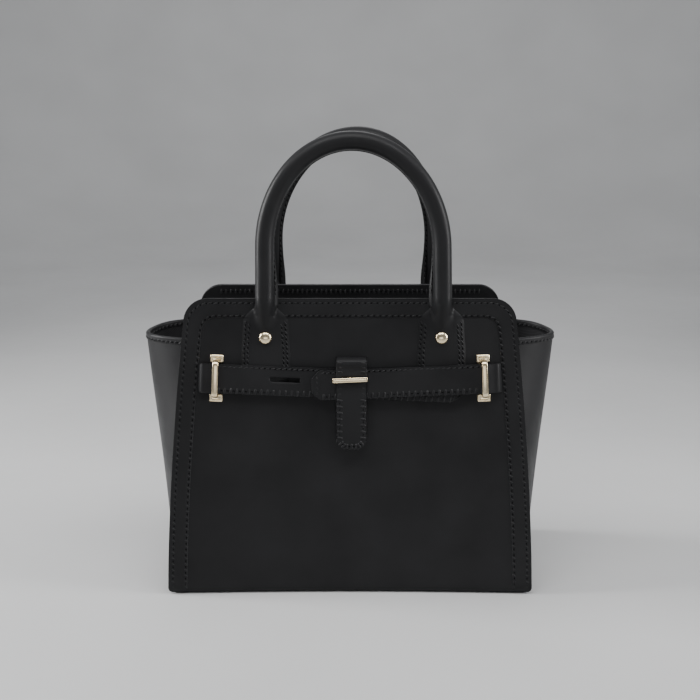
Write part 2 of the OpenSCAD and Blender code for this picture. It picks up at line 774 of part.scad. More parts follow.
// Rolled handles: the centre line rises from the left hinge, over the arch, to the right hinge
function handle_line(rise, sway) =
    let (
        a = tab_pitch / 2,
        raw = concat(
            [[-a, 0], [-a, leg_h / 2]],
            [for (i = [0 : ARCH_STEPS])
                let (t = 180 - 180 * i / ARCH_STEPS)
                [a * cos(t), leg_h + (rise - leg_h) * sin(t)]],
            [[a, leg_h / 2], [a, 0]]
        )
    )
    [for (p = raw) [p[0] * (1 - leg_draw_share * p[1] / rise) + sway * pow(p[1] / rise, 2), p[1]]];
// Unit vector across the line at point i, pointing away from the arch's inside
function across(line, i) =
    let (
        d = line[min(i + 1, len(line) - 1)] - line[max(i - 1, 0)],
        flat = i == 0 || i == len(line) - 1,
        n = flat ? [-sign(d[1]) * norm(d), 0] : [-d[1], d[0]]
    )
    n / norm(n);
// Section of the cover as [angle, radius] pairs, with the sewn seam standing out
function cover_section() =
    let (
        low = asin(seam_w / 2 / handle_r),
        high = asin(seam_w / 2 / (handle_r + seam_h))
    )
    concat(
        [[seam_angle - low, handle_r], [seam_angle - high, handle_r + seam_h],
         [seam_angle + high, handle_r + seam_h], [seam_angle + low, handle_r]],
        [for (k = [1 : TUBE_SIDES - 1]) [seam_angle + 360 * k / TUBE_SIDES, handle_r]]
    );
function ring_at(p, n, section, r) =
    [for (s = section)
        let (radius = r == 0 ? s[1] : r)
        [p[0] + n[0] * radius * cos(s[0]), p[1] + n[1] * radius * cos(s[0]), radius * sin(s[0])]];
module handle_cover(rise, sway) {
    line = handle_line(rise, sway);
    section = cover_section();
    outer = [for (i = [0 : len(line) - 1]) ring_at(line[i], across(line, i), section, 0)];
    inner = [for (i = [0 : len(line) - 1]) ring_at(line[i], across(line, i), section, core_r)];
    n = len(section);
    rows = len(line);
    function at(r, k, sheet) = sheet * rows * n + r * n + k % n;
    faces = [for (r = [0 : rows - 2], k = [0 : n - 1]) each [
        [at(r, k, 0), at(r + 1, k + 1, 0), at(r + 1, k, 0)],
        [at(r, k, 0), at(r, k + 1, 0), at(r + 1, k + 1, 0)],
        [at(r, k, 1), at(r + 1, k, 1), at(r + 1, k + 1, 1)],
        [at(r, k, 1), at(r + 1, k + 1, 1), at(r, k + 1, 1)]
    ]];
    ends = [for (k = [0 : n - 1]) each [
        [at(0, k, 0), at(0, k + 1, 1), at(0, k + 1, 0)],
        [at(0, k, 0), at(0, k, 1), at(0, k + 1, 1)],
        [at(rows - 1, k, 0), at(rows - 1, k + 1, 0), at(rows - 1, k + 1, 1)],
        [at(rows - 1, k, 0), at(rows - 1, k + 1, 1), at(rows - 1, k, 1)]
    ]];
    polyhedron([for (ring = concat(outer, inner)) each ring], concat(faces, ends));
}
// The filler cord, with round ends as wide as the cover
module handle_core(rise, sway) {
    line = handle_line(rise, sway);
    section = cover_section();
    last = len(line) - 1;
    function end_ring(p, n, a) = ring_at([p[0], p[1] - handle_r * sin(a)], n, section, handle_r * cos(a));
    first_n = across(line, 0);
    last_n = across(line, last);
    rings = concat(
        [for (i = [END_STEPS - 1 : -1 : 0]) end_ring(line[0], first_n, 90 * i / END_STEPS)],
        [for (i = [0 : last]) ring_at(line[i], across(line, i), section, core_r)],
        [for (i = [0 : END_STEPS - 1]) end_ring(line[last], last_n, 90 * i / END_STEPS)]
    );
    n = len(section);
    rows = len(rings);
    poles = [[line[0][0], line[0][1] - handle_r, 0], [line[last][0], line[last][1] - handle_r, 0]];
    function at(r, k) = r * n + k % n;
    sides = [for (r = [0 : rows - 2], k = [0 : n - 1]) each [
        [at(r, k), at(r + 1, k + 1), at(r + 1, k)],
        [at(r, k), at(r, k + 1), at(r + 1, k + 1)]
    ]];
    fans = [for (k = [0 : n - 1]) each [
        [rows * n, at(0, k + 1), at(0, k)],
        [rows * n + 1, at(rows - 1, k), at(rows - 1, k + 1)]
    ]];
    polyhedron(concat([for (ring = rings) each ring], poles), concat(sides, fans));
}
module front_handle_cover() {
    color(LEATHER) on_front() translate([handle_shift, hinge_v, hinge_w])
        handle_cover(front_rise, front_sway);
}
module front_handle_core() {
    color(CORD) on_front() translate([handle_shift, hinge_v, hinge_w])
        handle_core(front_rise, front_sway);
}
module back_handle_cover() {
    color(LEATHER) on_back() translate([-handle_shift, hinge_v, hinge_w])
        handle_cover(back_rise, back_sway);
}
module back_handle_core() {
    color(CORD) on_back() translate([-handle_shift, hinge_v, hinge_w])
        handle_core(back_rise, back_sway);
}

front_panel();
back_panel();
base_panel();
left_gusset();
right_gusset();
left_rim_binding();
right_rim_binding();
front_border();
back_border();
front_facing();
back_facing();
front_stiffener();
back_stiffener();
front_lining();
back_lining();
left_lining();
right_lining();
base_lining();
base_board();
front_left_tab();
front_right_tab();
back_left_tab();
back_right_tab();
front_rivets();
back_rivets();
rivet_washers();
left_keeper();
right_keeper();
keeper_backing_plates();
left_strap();
right_strap();
tongue_root();
toggle_bush();
toggle_backing_ring();
front_handle_cover();
front_handle_core();
back_handle_cover();
back_handle_core();
toggle_stem();
toggle_bar();
tongue_flap();
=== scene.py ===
import math

import bpy
import numpy as np
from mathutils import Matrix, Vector


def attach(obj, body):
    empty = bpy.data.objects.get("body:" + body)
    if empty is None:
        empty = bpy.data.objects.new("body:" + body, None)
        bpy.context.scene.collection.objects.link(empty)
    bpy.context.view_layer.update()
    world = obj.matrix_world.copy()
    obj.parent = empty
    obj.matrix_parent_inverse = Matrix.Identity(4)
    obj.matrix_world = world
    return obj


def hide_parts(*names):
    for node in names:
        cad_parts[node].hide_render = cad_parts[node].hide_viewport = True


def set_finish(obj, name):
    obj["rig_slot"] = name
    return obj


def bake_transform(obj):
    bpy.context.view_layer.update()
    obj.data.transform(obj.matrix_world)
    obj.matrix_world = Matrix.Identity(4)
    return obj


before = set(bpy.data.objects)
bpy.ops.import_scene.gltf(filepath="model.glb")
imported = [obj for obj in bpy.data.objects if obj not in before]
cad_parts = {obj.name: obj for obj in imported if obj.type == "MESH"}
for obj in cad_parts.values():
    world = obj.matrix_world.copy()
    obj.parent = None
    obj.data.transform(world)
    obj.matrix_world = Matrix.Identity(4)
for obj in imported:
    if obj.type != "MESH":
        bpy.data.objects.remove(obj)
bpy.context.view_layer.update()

# The driving dimensions in millimetres, the CAD's own except for two that follow the photograph:
# CORNER_R is 16 in the CAD and STRAP_TILT, in degrees, is 3.2
BASE_D = 142.0
TOP_D = 88.0
BODY_H = 243.0
TAB_PITCH = 141.6
TAB_SIDE = 79.2
HANDLE_SHIFT = 2.8
SIDE_DROP = 17.8
CORNER_R = 19.5
FOOT_R = 4.0
ROLL_R = 5.0
TURN_IN = 12.0
RIM_DROP = 33.0
WING_REACH = 23.6
GUSSET_INSET = 3.0
FLANGE_W = 8.5
BINDING_H = 5.0
WALL_T = 2.0
BORDER_T = 1.0
BORDER_W = 15.5
GUSSET_T = 1.4
BINDING_T = 0.8
LINING_T = 0.6
STIFFENER_T = 0.8
HANDLE_DIA = 14.8
FRONT_RISE = 122.0
BACK_RISE = 128.0
LEG_H = 39.0
TAB_T = 1.8
TAB_W = 39.8
TAB_LEN = 74.0
STRAP_W = 24.0
STRAP_T = 2.0
STRAP_TILT = 2.3
STRAP_CUT = 6.5
SLOT_LEN = 24.0
SLOT_H = 4.6
LEFT_REACH = 90.5
RIGHT_REACH = 31.0
TONGUE_T = 1.8
TONGUE_W = 24.8
TONGUE_LEN = 57.0
TONGUE_CUT = 6.6
TONGUE_SLOT = 17.0
BAR_H = 4.0
BAR_T = 3.0
KEEPER_OUT = 37.2
FOOT_W = 10.6
FOOT_LEN = 6.8
KEEPER_BAR_W = 4.8
KEEPER_CLEAR = 8.6

# Fixed values, and what follows from the dimensions. As in the photograph, the straps lie 2 mm higher than in
# the CAD, their slits 1 mm further out and the spare slot 2 mm lower on its strap, the straps' slots are 1 mm
# less high, and the gussets' rims rise by RIM_RISE to the back wall.
MM = 0.001
GAP = 0.3
LEAN = math.atan((BASE_D - TOP_D) / 2 / BODY_H)
SIN = math.sin(LEAN)
COS = math.cos(LEAN)
WALL_LEN = BODY_H / COS
BASE_W = TAB_PITCH + 2 * TAB_SIDE
BASE_HALF = BASE_W / 2 - 2.6
WING_HALF = BASE_W / 2 + WING_REACH
RIM_H = BODY_H - RIM_DROP
RIM_RISE = 2.2
FOOT_BOW = 3.0
KEEPER_X = TAB_PITCH / 2 + KEEPER_OUT
SIDE_POWER = 1.58
CREASE_RISE_POWER = 0.71
SIDE_ANGLE = math.atan(SIDE_DROP * SIDE_POWER / WALL_LEN)
HINGE_V = WALL_LEN + 1.8
HANDLE_R = HANDLE_DIA / 2
HINGE_W = BORDER_T + GAP + HANDLE_R
RIVET_V = HINGE_V - 33.5
STRAP_V = WALL_LEN - 68.9
TOGGLE_V = STRAP_V + 4
SLIT_U = KEEPER_X + 15
LOW_W = BORDER_T + TAB_T + GAP
HIGH_W = LOW_W + STRAP_T + GAP
TONGUE_W0 = HIGH_W + STRAP_T + GAP
TONGUE_TOP = TONGUE_W0 + TONGUE_T
TONGUE_SLIT_V = TOGGLE_V + 17.4
TONGUE_TIP_V = TOGGLE_V - TONGUE_LEN
TONGUE_U = 1.2
BAR_W0 = TONGUE_TOP + GAP
BAR_TILT = 2.5
SPARE_SLOT = (-52.5, 1.2)
SLOT_SHOWN = SLOT_H - 1.0
ROLL_TURN = math.pi / 2 + LEAN
ROLL_V = ROLL_R * (1 + SIN) / COS
FLOOR_V = ROLL_V - ROLL_R * ROLL_TURN
SIDES = ((1, "front"), (-1, "back"))


def unit(vectors):
    return vectors / np.maximum(np.linalg.norm(vectors, axis=-1, keepdims=True), 1e-12)


def smooth(low, high, x):
    """0 below low, 1 above high, and a smooth rise between them."""
    t = np.clip((np.asarray(x, float) - low) / (high - low), 0, 1)
    return t * t * (3 - 2 * t)


def side_line(v):
    return BASE_W / 2 - SIDE_DROP * (np.maximum(v, 0) / WALL_LEN) ** SIDE_POWER


def half_of(v, inset=0.0, high=WALL_LEN, radius=CORNER_R):
    """Half width of a wall at height v, with its rounded top and foot corners."""
    arc_v = high - radius
    join_v = arc_v + radius * math.sin(SIDE_ANGLE)
    arc_u = side_line(join_v) - inset - radius * math.cos(SIDE_ANGLE)
    arc = arc_u + np.sqrt(np.maximum(radius**2 - (np.maximum(v, arc_v) - arc_v) ** 2, 0))
    foot = FOOT_R - np.sqrt(np.maximum(FOOT_R**2 - np.clip(FOOT_R - v, 0, FOOT_R) ** 2, 0))
    return np.where(v < join_v, side_line(v) - inset - foot, arc)


def bow(u, v):
    """How far the foot of a wall gives way inward, in the middle of its width."""
    return FOOT_BOW * np.clip(1 - (u / 150) ** 2, 0, 1) ** 1.5 * (1 - smooth(-5, 130, v))


def ripple(u, v):
    """The leather's slight unevenness, which keeps its reflections from being straight."""
    long_wave = 0.16 * np.sin(u / 29 + 1.3) * np.sin(v / 25 + 0.4)
    return long_wave + 0.08 * np.sin(u / 13 - v / 19) * np.cos(v / 11 + u / 31)


def full_turn(count):
    return np.linspace(0, 2 * math.pi, count, endpoint=False)


def stacked(*parts):
    """Points in metres from coordinates in millimetres, of which each may be one value or many."""
    return np.stack(np.broadcast_arrays(*parts), -1) * MM


def on_wall(side, u, v, w):
    """Points at u across, v up the slope and w outward from a wall. Side 1 is the front, -1 the back."""
    angle = LEAN - np.clip((ROLL_V - v) / ROLL_R, 0, ROLL_TURN)
    reach = ROLL_R + w + ripple(u, v) * smooth(ROLL_V, 40, v)
    up = np.maximum(v - ROLL_V, 0)
    flat = np.maximum(FLOOR_V - v, 0)
    y = -BASE_D / 2 + ROLL_V - reach * np.cos(angle) + up * SIN + flat + bow(u, v)
    z = ROLL_R + reach * np.sin(angle) + up * COS
    return stacked(side * u, side * y, z)


def rigid(side, u, v, w):
    """As on_wall, without the leather's give: for metal and for what turns on a joint."""
    y = -BASE_D / 2 + v * SIN - w * COS
    return stacked(side * u, side * y, v * COS + w * SIN)


def wall_normal(side):
    return np.array([0, -side * COS, SIN])


# Meshes

def add_mesh(name, points, faces, material, body="root", slot="leather", painted=()):
    """One piece of the bag. Painted is the range of its faces that are a cut, painted edge."""
    mesh = bpy.data.meshes.new(name)
    mesh.from_pydata([tuple(p) for p in points], [], [tuple(int(i) for i in f) for f in faces])
    mesh.materials.append(material)
    mesh.polygons.foreach_set("use_smooth", [True] * len(mesh.polygons))
    if painted:
        mesh.materials.append(EDGE)
        mesh.polygons.foreach_set("material_index", [int(i in painted) for i in range(len(faces))])
    piece = bpy.data.objects.new(name, mesh)
    bpy.context.scene.collection.objects.link(piece)
    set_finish(piece, slot)
    if body:
        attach(piece, body)
    return piece


def grid_faces(rows, cols, closed=False, skip=()):
    """Quads over rows of points, that face outward where columns run right and rows run up."""
    last = cols if closed else cols - 1
    return [
        (r * cols + c, r * cols + (c + 1) % cols, (r + 1) * cols + (c + 1) % cols, (r + 1) * cols + c)
        for r in range(rows - 1) for c in range(last) if (r, c) not in skip
    ]


def skin_faces(rows, cols):
    """The faces of a closed skin over rings of points, with a cap at both ends."""
    caps = [tuple(range(cols - 1, -1, -1)), tuple((rows - 1) * cols + c for c in range(cols))]
    return grid_faces(rows, cols, closed=True) + caps


def point_normals(points, faces):
    quads = np.array(faces)
    across = np.cross(points[quads[:, 2]] - points[quads[:, 0]], points[quads[:, 3]] - points[quads[:, 1]])
    normals = np.zeros_like(points)
    for k in range(4):
        np.add.at(normals, quads[:, k], across)
    return unit(normals)


def thick(name, grid, thickness, material, body="root", slot="leather", skip=(), flip=False, paint=False):
    """A closed sheet of leather or cloth. The grid is its outer side, and every edge and hole is rounded."""
    rows, cols = grid.shape[:2]
    if flip:
        grid = grid[:, ::-1]
        skip = {(r, cols - 2 - c) for r, c in skip}
    faces = grid_faces(rows, cols, skip=skip)
    points = grid.reshape(-1, 3)
    normals = point_normals(points, faces)
    half = thickness * MM / 2
    edges = {pair for f in faces for pair in zip(f, f[1:] + f[:1])}
    rim = sorted(pair for pair in edges if pair[::-1] not in edges)
    out = np.zeros_like(points)
    for a, b in rim:
        step = unit(np.cross(points[b] - points[a], normals[a]))
        out[a] += step
        out[b] += step
    out = unit(out)
    reach = half * 0.7
    points = points - out * reach
    total = len(points)
    layers = [points, points - normals * half * 2]
    for turn in (math.pi / 4, math.pi / 2, math.pi * 3 / 4):
        layers.append(points - normals * half * (1 - math.cos(turn)) + out * reach * math.sin(turn))
    inward = [0, 2, 3, 4, 1]
    walls = [
        tuple(inward[k] * total + i for i, k in ((b, j), (a, j), (a, j + 1), (b, j + 1)))
        for a, b in rim for j in range(4)]
    every = faces + [tuple(total + i for i in reversed(f)) for f in faces] + walls
    used = sorted({i for f in every for i in f})
    number = {i: k for k, i in enumerate(used)}
    every = [tuple(number[i] for i in f) for f in every]
    painted = range(2 * len(faces), len(every)) if paint else ()
    return add_mesh(name, np.concatenate(layers)[used], every, material, body, slot, painted)


def tube(name, rings, material, body="root", slot="leather"):
    """A closed skin over rings of points. It faces outward where the rings turn left of their travel."""
    faces = skin_faces(*rings.shape[:2])
    return add_mesh(name, rings.reshape(-1, 3), faces, material, body, slot)


def bead_shape():
    """A round thread that dips at both ends, as [along, across, up] between -1 and 1, and its faces."""
    sides = 8
    along = np.array([-1.0, -0.9, -0.72, -0.35, 0.35, 0.72, 0.9, 1.0])
    centre = -1.15 * np.abs(along) ** 3.2
    points = [(x, math.cos(t), math.sin(t) + z) for x, z in zip(along, centre) for t in full_turn(sides)]
    return np.array(points), skin_faces(len(along), sides)


BEAD_POINTS, BEAD_FACES = bead_shape()


def beads(name, rows, size, material, body="root", slot="leather", slant=0.0):
    """Stitches: rows of (places, directions, normals), each long, wide and high as size says, in millimetres.

    Slant is the angle between a stitch and its row, or a function of the places."""
    points, faces = [], []
    length, width, height = (s * MM for s in size)
    for places, ways, ups in rows:
        ups = unit(np.broadcast_to(ups, places.shape))
        ways = unit(ways - ups * np.sum(ways * ups, -1, keepdims=True))
        sides = np.cross(ups, ways)
        lean = (slant(places) if callable(slant) else np.full(len(places), slant))[:, None]
        turned = ways * np.cos(lean) + sides * np.sin(lean)
        sides = np.cross(ups, turned)
        for p, t, s, n in zip(places, turned, sides, ups):
            start = len(points) * len(BEAD_POINTS)
            x, y, z = BEAD_POINTS.T
            points.append(
                p + np.outer(x * length / 2, t) + np.outer(y * width / 2, s) + np.outer(z * height, n))
            faces += [tuple(start + i for i in f) for f in BEAD_FACES]
    return add_mesh(name, np.concatenate(points), faces, material, body, slot)


def spread(line, pitch, inset=0.0):
    """Places every pitch millimetres along a line of points in metres, and the line's direction at each."""
    steps = np.linalg.norm(np.diff(line, axis=0), axis=1)
    run = np.concatenate([[0], np.cumsum(steps)])
    count = max(int(round((run[-1] - 2 * inset * MM) / (pitch * MM))), 1)
    at = inset * MM + (np.arange(count) + 0.5) * (run[-1] - 2 * inset * MM) / count
    near = 0.4 * MM

    def along(distance):
        return np.stack([np.interp(distance, run, line[:, k]) for k in range(3)], -1)

    return along(at), unit(along(at + near) - along(at - near))


def stitching(name, rows, size, body="root", slot="leather", slant=0.3, shade_len=1.5):
    """Rows of thread, and between the stitches flat, near-black marks of painted shade, for the shade in the
    holes that the thread goes down into.
    """
    threads = beads(name + "_stitches", rows, size, THREAD, body, slot, slant)
    between = []
    for places, ways, ups in rows:
        ups = np.broadcast_to(ups, places.shape)[:-1]
        between.append(((places[:-1] + places[1:]) / 2, ways[:-1], ups))
    # The marks between the stitches are painted shade, for the shade inside the needle holes.
    shade_marks = beads(name + "_holes", between, (shade_len, size[1] * 1.05, 0.09), HOLE_SHADE_PAINT, body, slot, slant)
    return threads, shade_marks


def wall_row(side, us, vs, w, pitch, inset=0.0):
    """A row of stitches along a line on a wall."""
    return (*spread(on_wall(side, us, vs, w), pitch, inset), wall_normal(side))


# Materials

class Graph:
    """A material's nodes, added and joined by short calls."""

    def __init__(self, name, roughness, metallic=0.0):
        self.material = bpy.data.materials.new(name)
        self.material.use_nodes = True
        self.nodes = self.material.node_tree.nodes
        self.links = self.material.node_tree.links
        self.shader = self.nodes["Principled BSDF"]
        self.keep("Roughness", roughness)
        self.keep("Metallic", metallic)
        self.place = self.nodes.new("ShaderNodeTexCoord").outputs["Object"]

    def keep(self, socket, value):
        """A value of the shader that is the same everywhere."""
        self.shader.inputs[socket].default_value = value

    def drive(self, socket, source):
        """A value of the shader that comes from other nodes."""
        self.links.new(source, self.shader.inputs[socket])

    def node(self, kind, values, links):
        """A new node, with values for its settings or sockets, and what is linked to it by socket."""
        node = self.nodes.new(kind)
        for key, value in values.items():
            if hasattr(node, key):
                setattr(node, key, value)
            else:
                node.inputs[key].default_value = value
        for socket, source in links.items():
            self.links.new(source, node.inputs[socket])
        return node

    def texture(self, kind, values):
        """A texture over the piece's own space."""
        return self.node(kind, values, {"Vector": self.place}).outputs[0]

    def noise(self, scale, detail=3.0, roughness=0.5):
        return self.texture("ShaderNodeTexNoise", {"Scale": scale, "Detail": detail, "Roughness": roughness})

    def remap(self, source, low, high):
        """Noise, which mostly lies between 0.3 and 0.7, spread from low to high."""
        values = {"From Min": 0.3, "From Max": 0.7, "To Min": low, "To Max": high}
        return self.node("ShaderNodeMapRange", values, {"Value": source}).outputs["Result"]

    def colour(self, source, dark, light, light_from=0.7):
        """The shader's colour: dark where the noise is under 0.3, and light where it is over light_from."""
        node = self.node("ShaderNodeValToRGB", {}, {"Fac": source})
        for end, position, colour in zip(node.color_ramp.elements, (0.3, light_from), (dark, light)):
            end.position = position
            end.color = (*colour, 1)
        self.drive("Base Color", node.outputs["Color"])

    def bump(self, height, strength, distance, before=None):
        links = {"Height": height, "Normal": before} if before else {"Height": height}
        return self.node("ShaderNodeBump", {"Strength": strength, "Distance": distance}, links).outputs[0]


def leather(name, rough):
    """Smooth calf: fine pores, faint creases, and a finish that is a little uneven."""
    g = Graph(name, rough)
    g.keep("Specular IOR Level", 0.13)
    g.colour(g.noise(21, 4), (0.0125, 0.0125, 0.0132), (0.0180, 0.0180, 0.0190), 0.72)
    g.drive("Roughness", g.remap(g.noise(55, 4, 0.6), rough - 0.06, rough + 0.07))
    pores = g.texture("ShaderNodeTexVoronoi", {"Scale": 1150.0, "Randomness": 1.0})
    fine = g.bump(pores, 0.16, 0.00012)
    folds = g.bump(g.noise(240, 3, 0.55), 0.16, 0.0003, fine)
    soft = g.bump(g.noise(38, 2, 0.4), 0.10, 0.0016, folds)
    g.drive("Normal", soft)
    return g.material


def edge_paint(name):
    g = Graph(name, 0.34)
    g.colour(g.noise(90, 3), (0.022, 0.022, 0.024), (0.036, 0.036, 0.038))
    g.drive("Roughness", g.remap(g.noise(300, 3), 0.28, 0.42))
    g.drive("Normal", g.bump(g.noise(420, 2), 0.2, 0.0002))
    return g.material


def thread(name):
    """Waxed black thread: fine slanting plies and a soft shine."""
    g = Graph(name, 0.42)
    g.keep("Specular IOR Level", 0.22)
    g.colour(g.noise(160, 2), (0.011, 0.011, 0.012), (0.018, 0.018, 0.019))
    g.drive("Roughness", g.remap(g.noise(600, 2), 0.36, 0.5))
    plies = g.texture("ShaderNodeTexWave", {"Scale": 420.0, "Distortion": 1.2, "Detail": 1.0})
    g.drive("Normal", g.bump(plies, 0.3, 0.00015))
    return g.material


# Painted shade: a near-black, matt colour for the flat marks between stitches, in place of the shade inside
# the needle holes.
def hole_shade_paint(name):
    g = Graph(name, 0.9)
    g.keep("Specular IOR Level", 0.05)
    g.colour(g.noise(400, 2), (0.0012, 0.0012, 0.0013), (0.003, 0.003, 0.0032))
    return g.material


def lining(name):
    """Black twill: fine diagonal ribs over a soft, matt cloth."""
    g = Graph(name, 0.85)
    g.keep("Sheen Weight", 0.04)
    g.keep("Specular IOR Level", 0.2)
    g.colour(g.noise(70, 3), (0.005, 0.005, 0.0056), (0.0095, 0.0095, 0.0105))
    twill = {"bands_direction": "DIAGONAL", "Scale": 260.0, "Distortion": 0.6}
    g.drive("Normal", g.bump(g.texture("ShaderNodeTexWave", twill), 0.5, 0.00025))
    return g.material


def metal(name, colour, deep, rough):
    """Plated metal, polished, with faint wear in its shine."""
    g = Graph(name, rough, 1.0)
    g.colour(g.noise(120, 3), deep, colour, 0.65)
    g.drive("Roughness", g.remap(g.noise(160, 3, 0.5), rough - 0.03, rough + 0.04))
    g.drive("Normal", g.bump(g.noise(700, 2), 0.03, 0.00008))
    return g.material


def fibre(name, dark, light):
    g = Graph(name, 0.8)
    g.colour(g.noise(200, 5, 0.7), dark, light)
    g.drive("Normal", g.bump(g.noise(700, 3), 0.3, 0.0003))
    return g.material


CALF = leather("calf", 0.42)
HANDLE_CALF = leather("handle_calf", 0.38)
RIM_CALF = leather("rim_calf", 0.40)
EDGE = edge_paint("painted_edge")
THREAD = thread("thread")
# The next material is painted shade, for the shade in the needle holes between stitches.
HOLE_SHADE_PAINT = hole_shade_paint("needle_holes")
CLOTH = lining("lining")
GOLD = metal("pale_gold", (0.94, 0.80, 0.56), (0.87, 0.71, 0.45), 0.16)
# Painted shade: gold darkened for the toggle's bush, which lies deep in a slot and would be in shade.
GOLD_PAINTED_SHADE = metal("gold_with_painted_shade", (0.16, 0.13, 0.09), (0.10, 0.08, 0.055), 0.4)
STEEL = metal("steel", (0.60, 0.60, 0.62), (0.48, 0.48, 0.50), 0.3)
BOARD = fibre("fibre_board", (0.30, 0.25, 0.19), (0.44, 0.38, 0.30))
FILLER = fibre("filler_cord", (0.60, 0.56, 0.48), (0.74, 0.70, 0.62))


# Walls, base and linings

def wall_rows(low, count):
    """Heights of a wall's points up to its top, closer at its rolled foot and its top corners."""
    arc_v = WALL_LEN - CORNER_R
    straight = np.linspace(max(low, ROLL_V), arc_v, count)
    bend = arc_v + CORNER_R * np.sin(np.linspace(0, math.pi / 2, 12))[1:]
    rolled = np.concatenate([[low, low + 2.5], np.linspace(FLOOR_V, ROLL_V, 10)[:-1]]) if low < 0 else []
    return np.unique(np.concatenate([rolled, straight, bend, [WALL_LEN - 0.35]]))


def shares(count):
    """Even shares from -1 to 1, with a few close ones at each end."""
    near = 1 - np.array([0.0, 0.004, 0.012, 0.03])
    return np.unique(np.concatenate([-near, np.linspace(-0.94, 0.94, count), near]))


def wall_grid(side, rows, half, w, count=64):
    return on_wall(side, shares(count)[None, :] * half(rows)[:, None], rows[:, None], w)


def wall_leather(side, name):
    rows = wall_rows(FLOOR_V - 6.4, 78)
    wall = thick(name + "_wall", wall_grid(side, rows, half_of, 0), WALL_T, CALF, paint=True)
    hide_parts(name + "_panel")


FACING_V = (RIM_H + BINDING_T) / COS + GAP


def facing_points(side, rows):
    """The facing's outer side. Its lower line rises beside the gussets, with their rims, at the back wall."""
    u = shares(64)[None, :] * half_of(rows, 0.4, WALL_LEN - 0.4)[:, None]
    edge = side_line(rows[0]) - GUSSET_INSET - FLANGE_W
    rise = (RIM_RISE + 0.3) * smooth(edge - 5, edge - 0.5, np.abs(u)) if side < 0 else 0.0
    v = rows[:, None] + rise * (rows[-1] - rows[:, None]) / (rows[-1] - rows[0])
    return on_wall(side, u, v, -WALL_T)


def facing_band(side, name):
    facing = thick(name + "_facing_band", facing_points(side, wall_rows(FACING_V, 14)), GUSSET_T, CALF)
    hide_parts(name + "_facing")
    us = np.linspace(-WALL_LEN / 2 + 5, WALL_LEN / 2 - 5, 80)
    places, ways, up = wall_row(side, us, WALL_LEN - 6.2, -WALL_T - GUSSET_T - 0.02, 4.3)
    stitching(name + "_facing", [(places, ways, -up)], (5.4, 1.25, 0.42), slant=1.45, shade_len=0.8)


def inner_half(v):
    """Half width of what lies between the gussets' flanges on a wall's inner side."""
    return side_line(v) - GUSSET_INSET - FLANGE_W - 0.5


def wall_inside(side, name):
    """A wall's stiffening board and the lining on it."""
    low, high = 6.0, FACING_V - 0.3
    rows = np.unique(np.concatenate([[low, low + 0.8], np.linspace(low + 2, high - 0.9, 50), [high]]))
    grid = wall_grid(side, rows, inner_half, -WALL_T, 30)
    stiffener = thick(name + "_wall_board", grid, STIFFENER_T, BOARD, slot="board")
    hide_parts(name + "_stiffener")
    grid = wall_grid(side, rows, inner_half, -WALL_T - STIFFENER_T, 40)
    cloth = thick(name + "_wall_lining", grid, LINING_T, CLOTH, slot="lining_cloth")
    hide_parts(name + "_lining")


def border_line(inset, low):
    """A line that runs up one side of a wall, round the corner, along the top and down again."""
    high = WALL_LEN - inset
    radius = CORNER_R - inset / 2
    arc_v = high - radius
    join_v = arc_v + radius * math.sin(SIDE_ANGLE)
    arc_u = side_line(join_v) - inset - radius * math.cos(SIDE_ANGLE)
    side_v = np.linspace(low, join_v, 46)
    turn = np.linspace(SIDE_ANGLE, math.pi / 2, 9)[1:]
    top_u = np.linspace(arc_u, 0, 30)[1:]
    u = np.concatenate([half_of(side_v, inset, high, radius), arc_u + radius * np.cos(turn), top_u])
    v = np.concatenate([side_v, arc_v + radius * np.sin(turn), np.full(len(top_u), high)])
    return np.concatenate([u, -u[-2::-1]]), np.concatenate([v, v[-2::-1]])


def border_height(v):
    return 0.08 + (BORDER_T - 0.08) * smooth(-2.5, 6, v)


def groove(x, *rows):
    """How deep the thread pulls the leather in at x across, for rows of stitches at these places."""
    return sum(0.3 * np.exp(-(((x - r) / 0.95) ** 2)) for r in rows)


def border_slant(places):
    """The angle between the border's stitches and their row: wide on the sides, small along the top."""
    return 1.15 - 0.8 * smooth(0.205, 0.235, places[:, 2])


def border(side, name):
    """The band sewn round a wall's sides and top. Its columns lie close at its edges and thread grooves."""
    outer_row, inner_row = 3.9, BORDER_W - 1.5
    across = np.array([
        0, 0.15, 0.45, 0.9, 1.5, 2.1, 2.8, 4.2, 7, 9, 10, 10.6, 11.1, 11.6, 12.1, 12.7, 13.6, 14.8,
        15.2, 15.4, 15.5])
    skived = 0.6 * (1 - smooth(0, 2.6, across)) ** 1.3
    sunk = groove(across, BORDER_W - inner_row, BORDER_W - outer_row)
    outer_u, outer_v = border_line(0.0, 0.4)
    inner_u, inner_v = border_line(BORDER_W, 0.4)
    u = inner_u[:, None] + (outer_u - inner_u)[:, None] * across / BORDER_W
    v = inner_v[:, None] + (outer_v - inner_v)[:, None] * across / BORDER_W
    w = border_height(v) * (1 - skived - sunk)
    band = thick(name + "_border_band", on_wall(side, u, v, w), BORDER_T, CALF, paint=True)
    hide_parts(name + "_border")
    for end, inset, level, width, height in (
            ("outer", outer_row, 0.72, 1.15, 0.5), ("inner", inner_row, 0.55, 1.25, 0.55)):
        us, vs = border_line(inset, 3.0)
        rows = [wall_row(side, us, vs, border_height(vs) * level, 4.9, 1.0)]
        stitching(f"{name}_border_{end}", rows, (3.9, width, height), slant=border_slant)


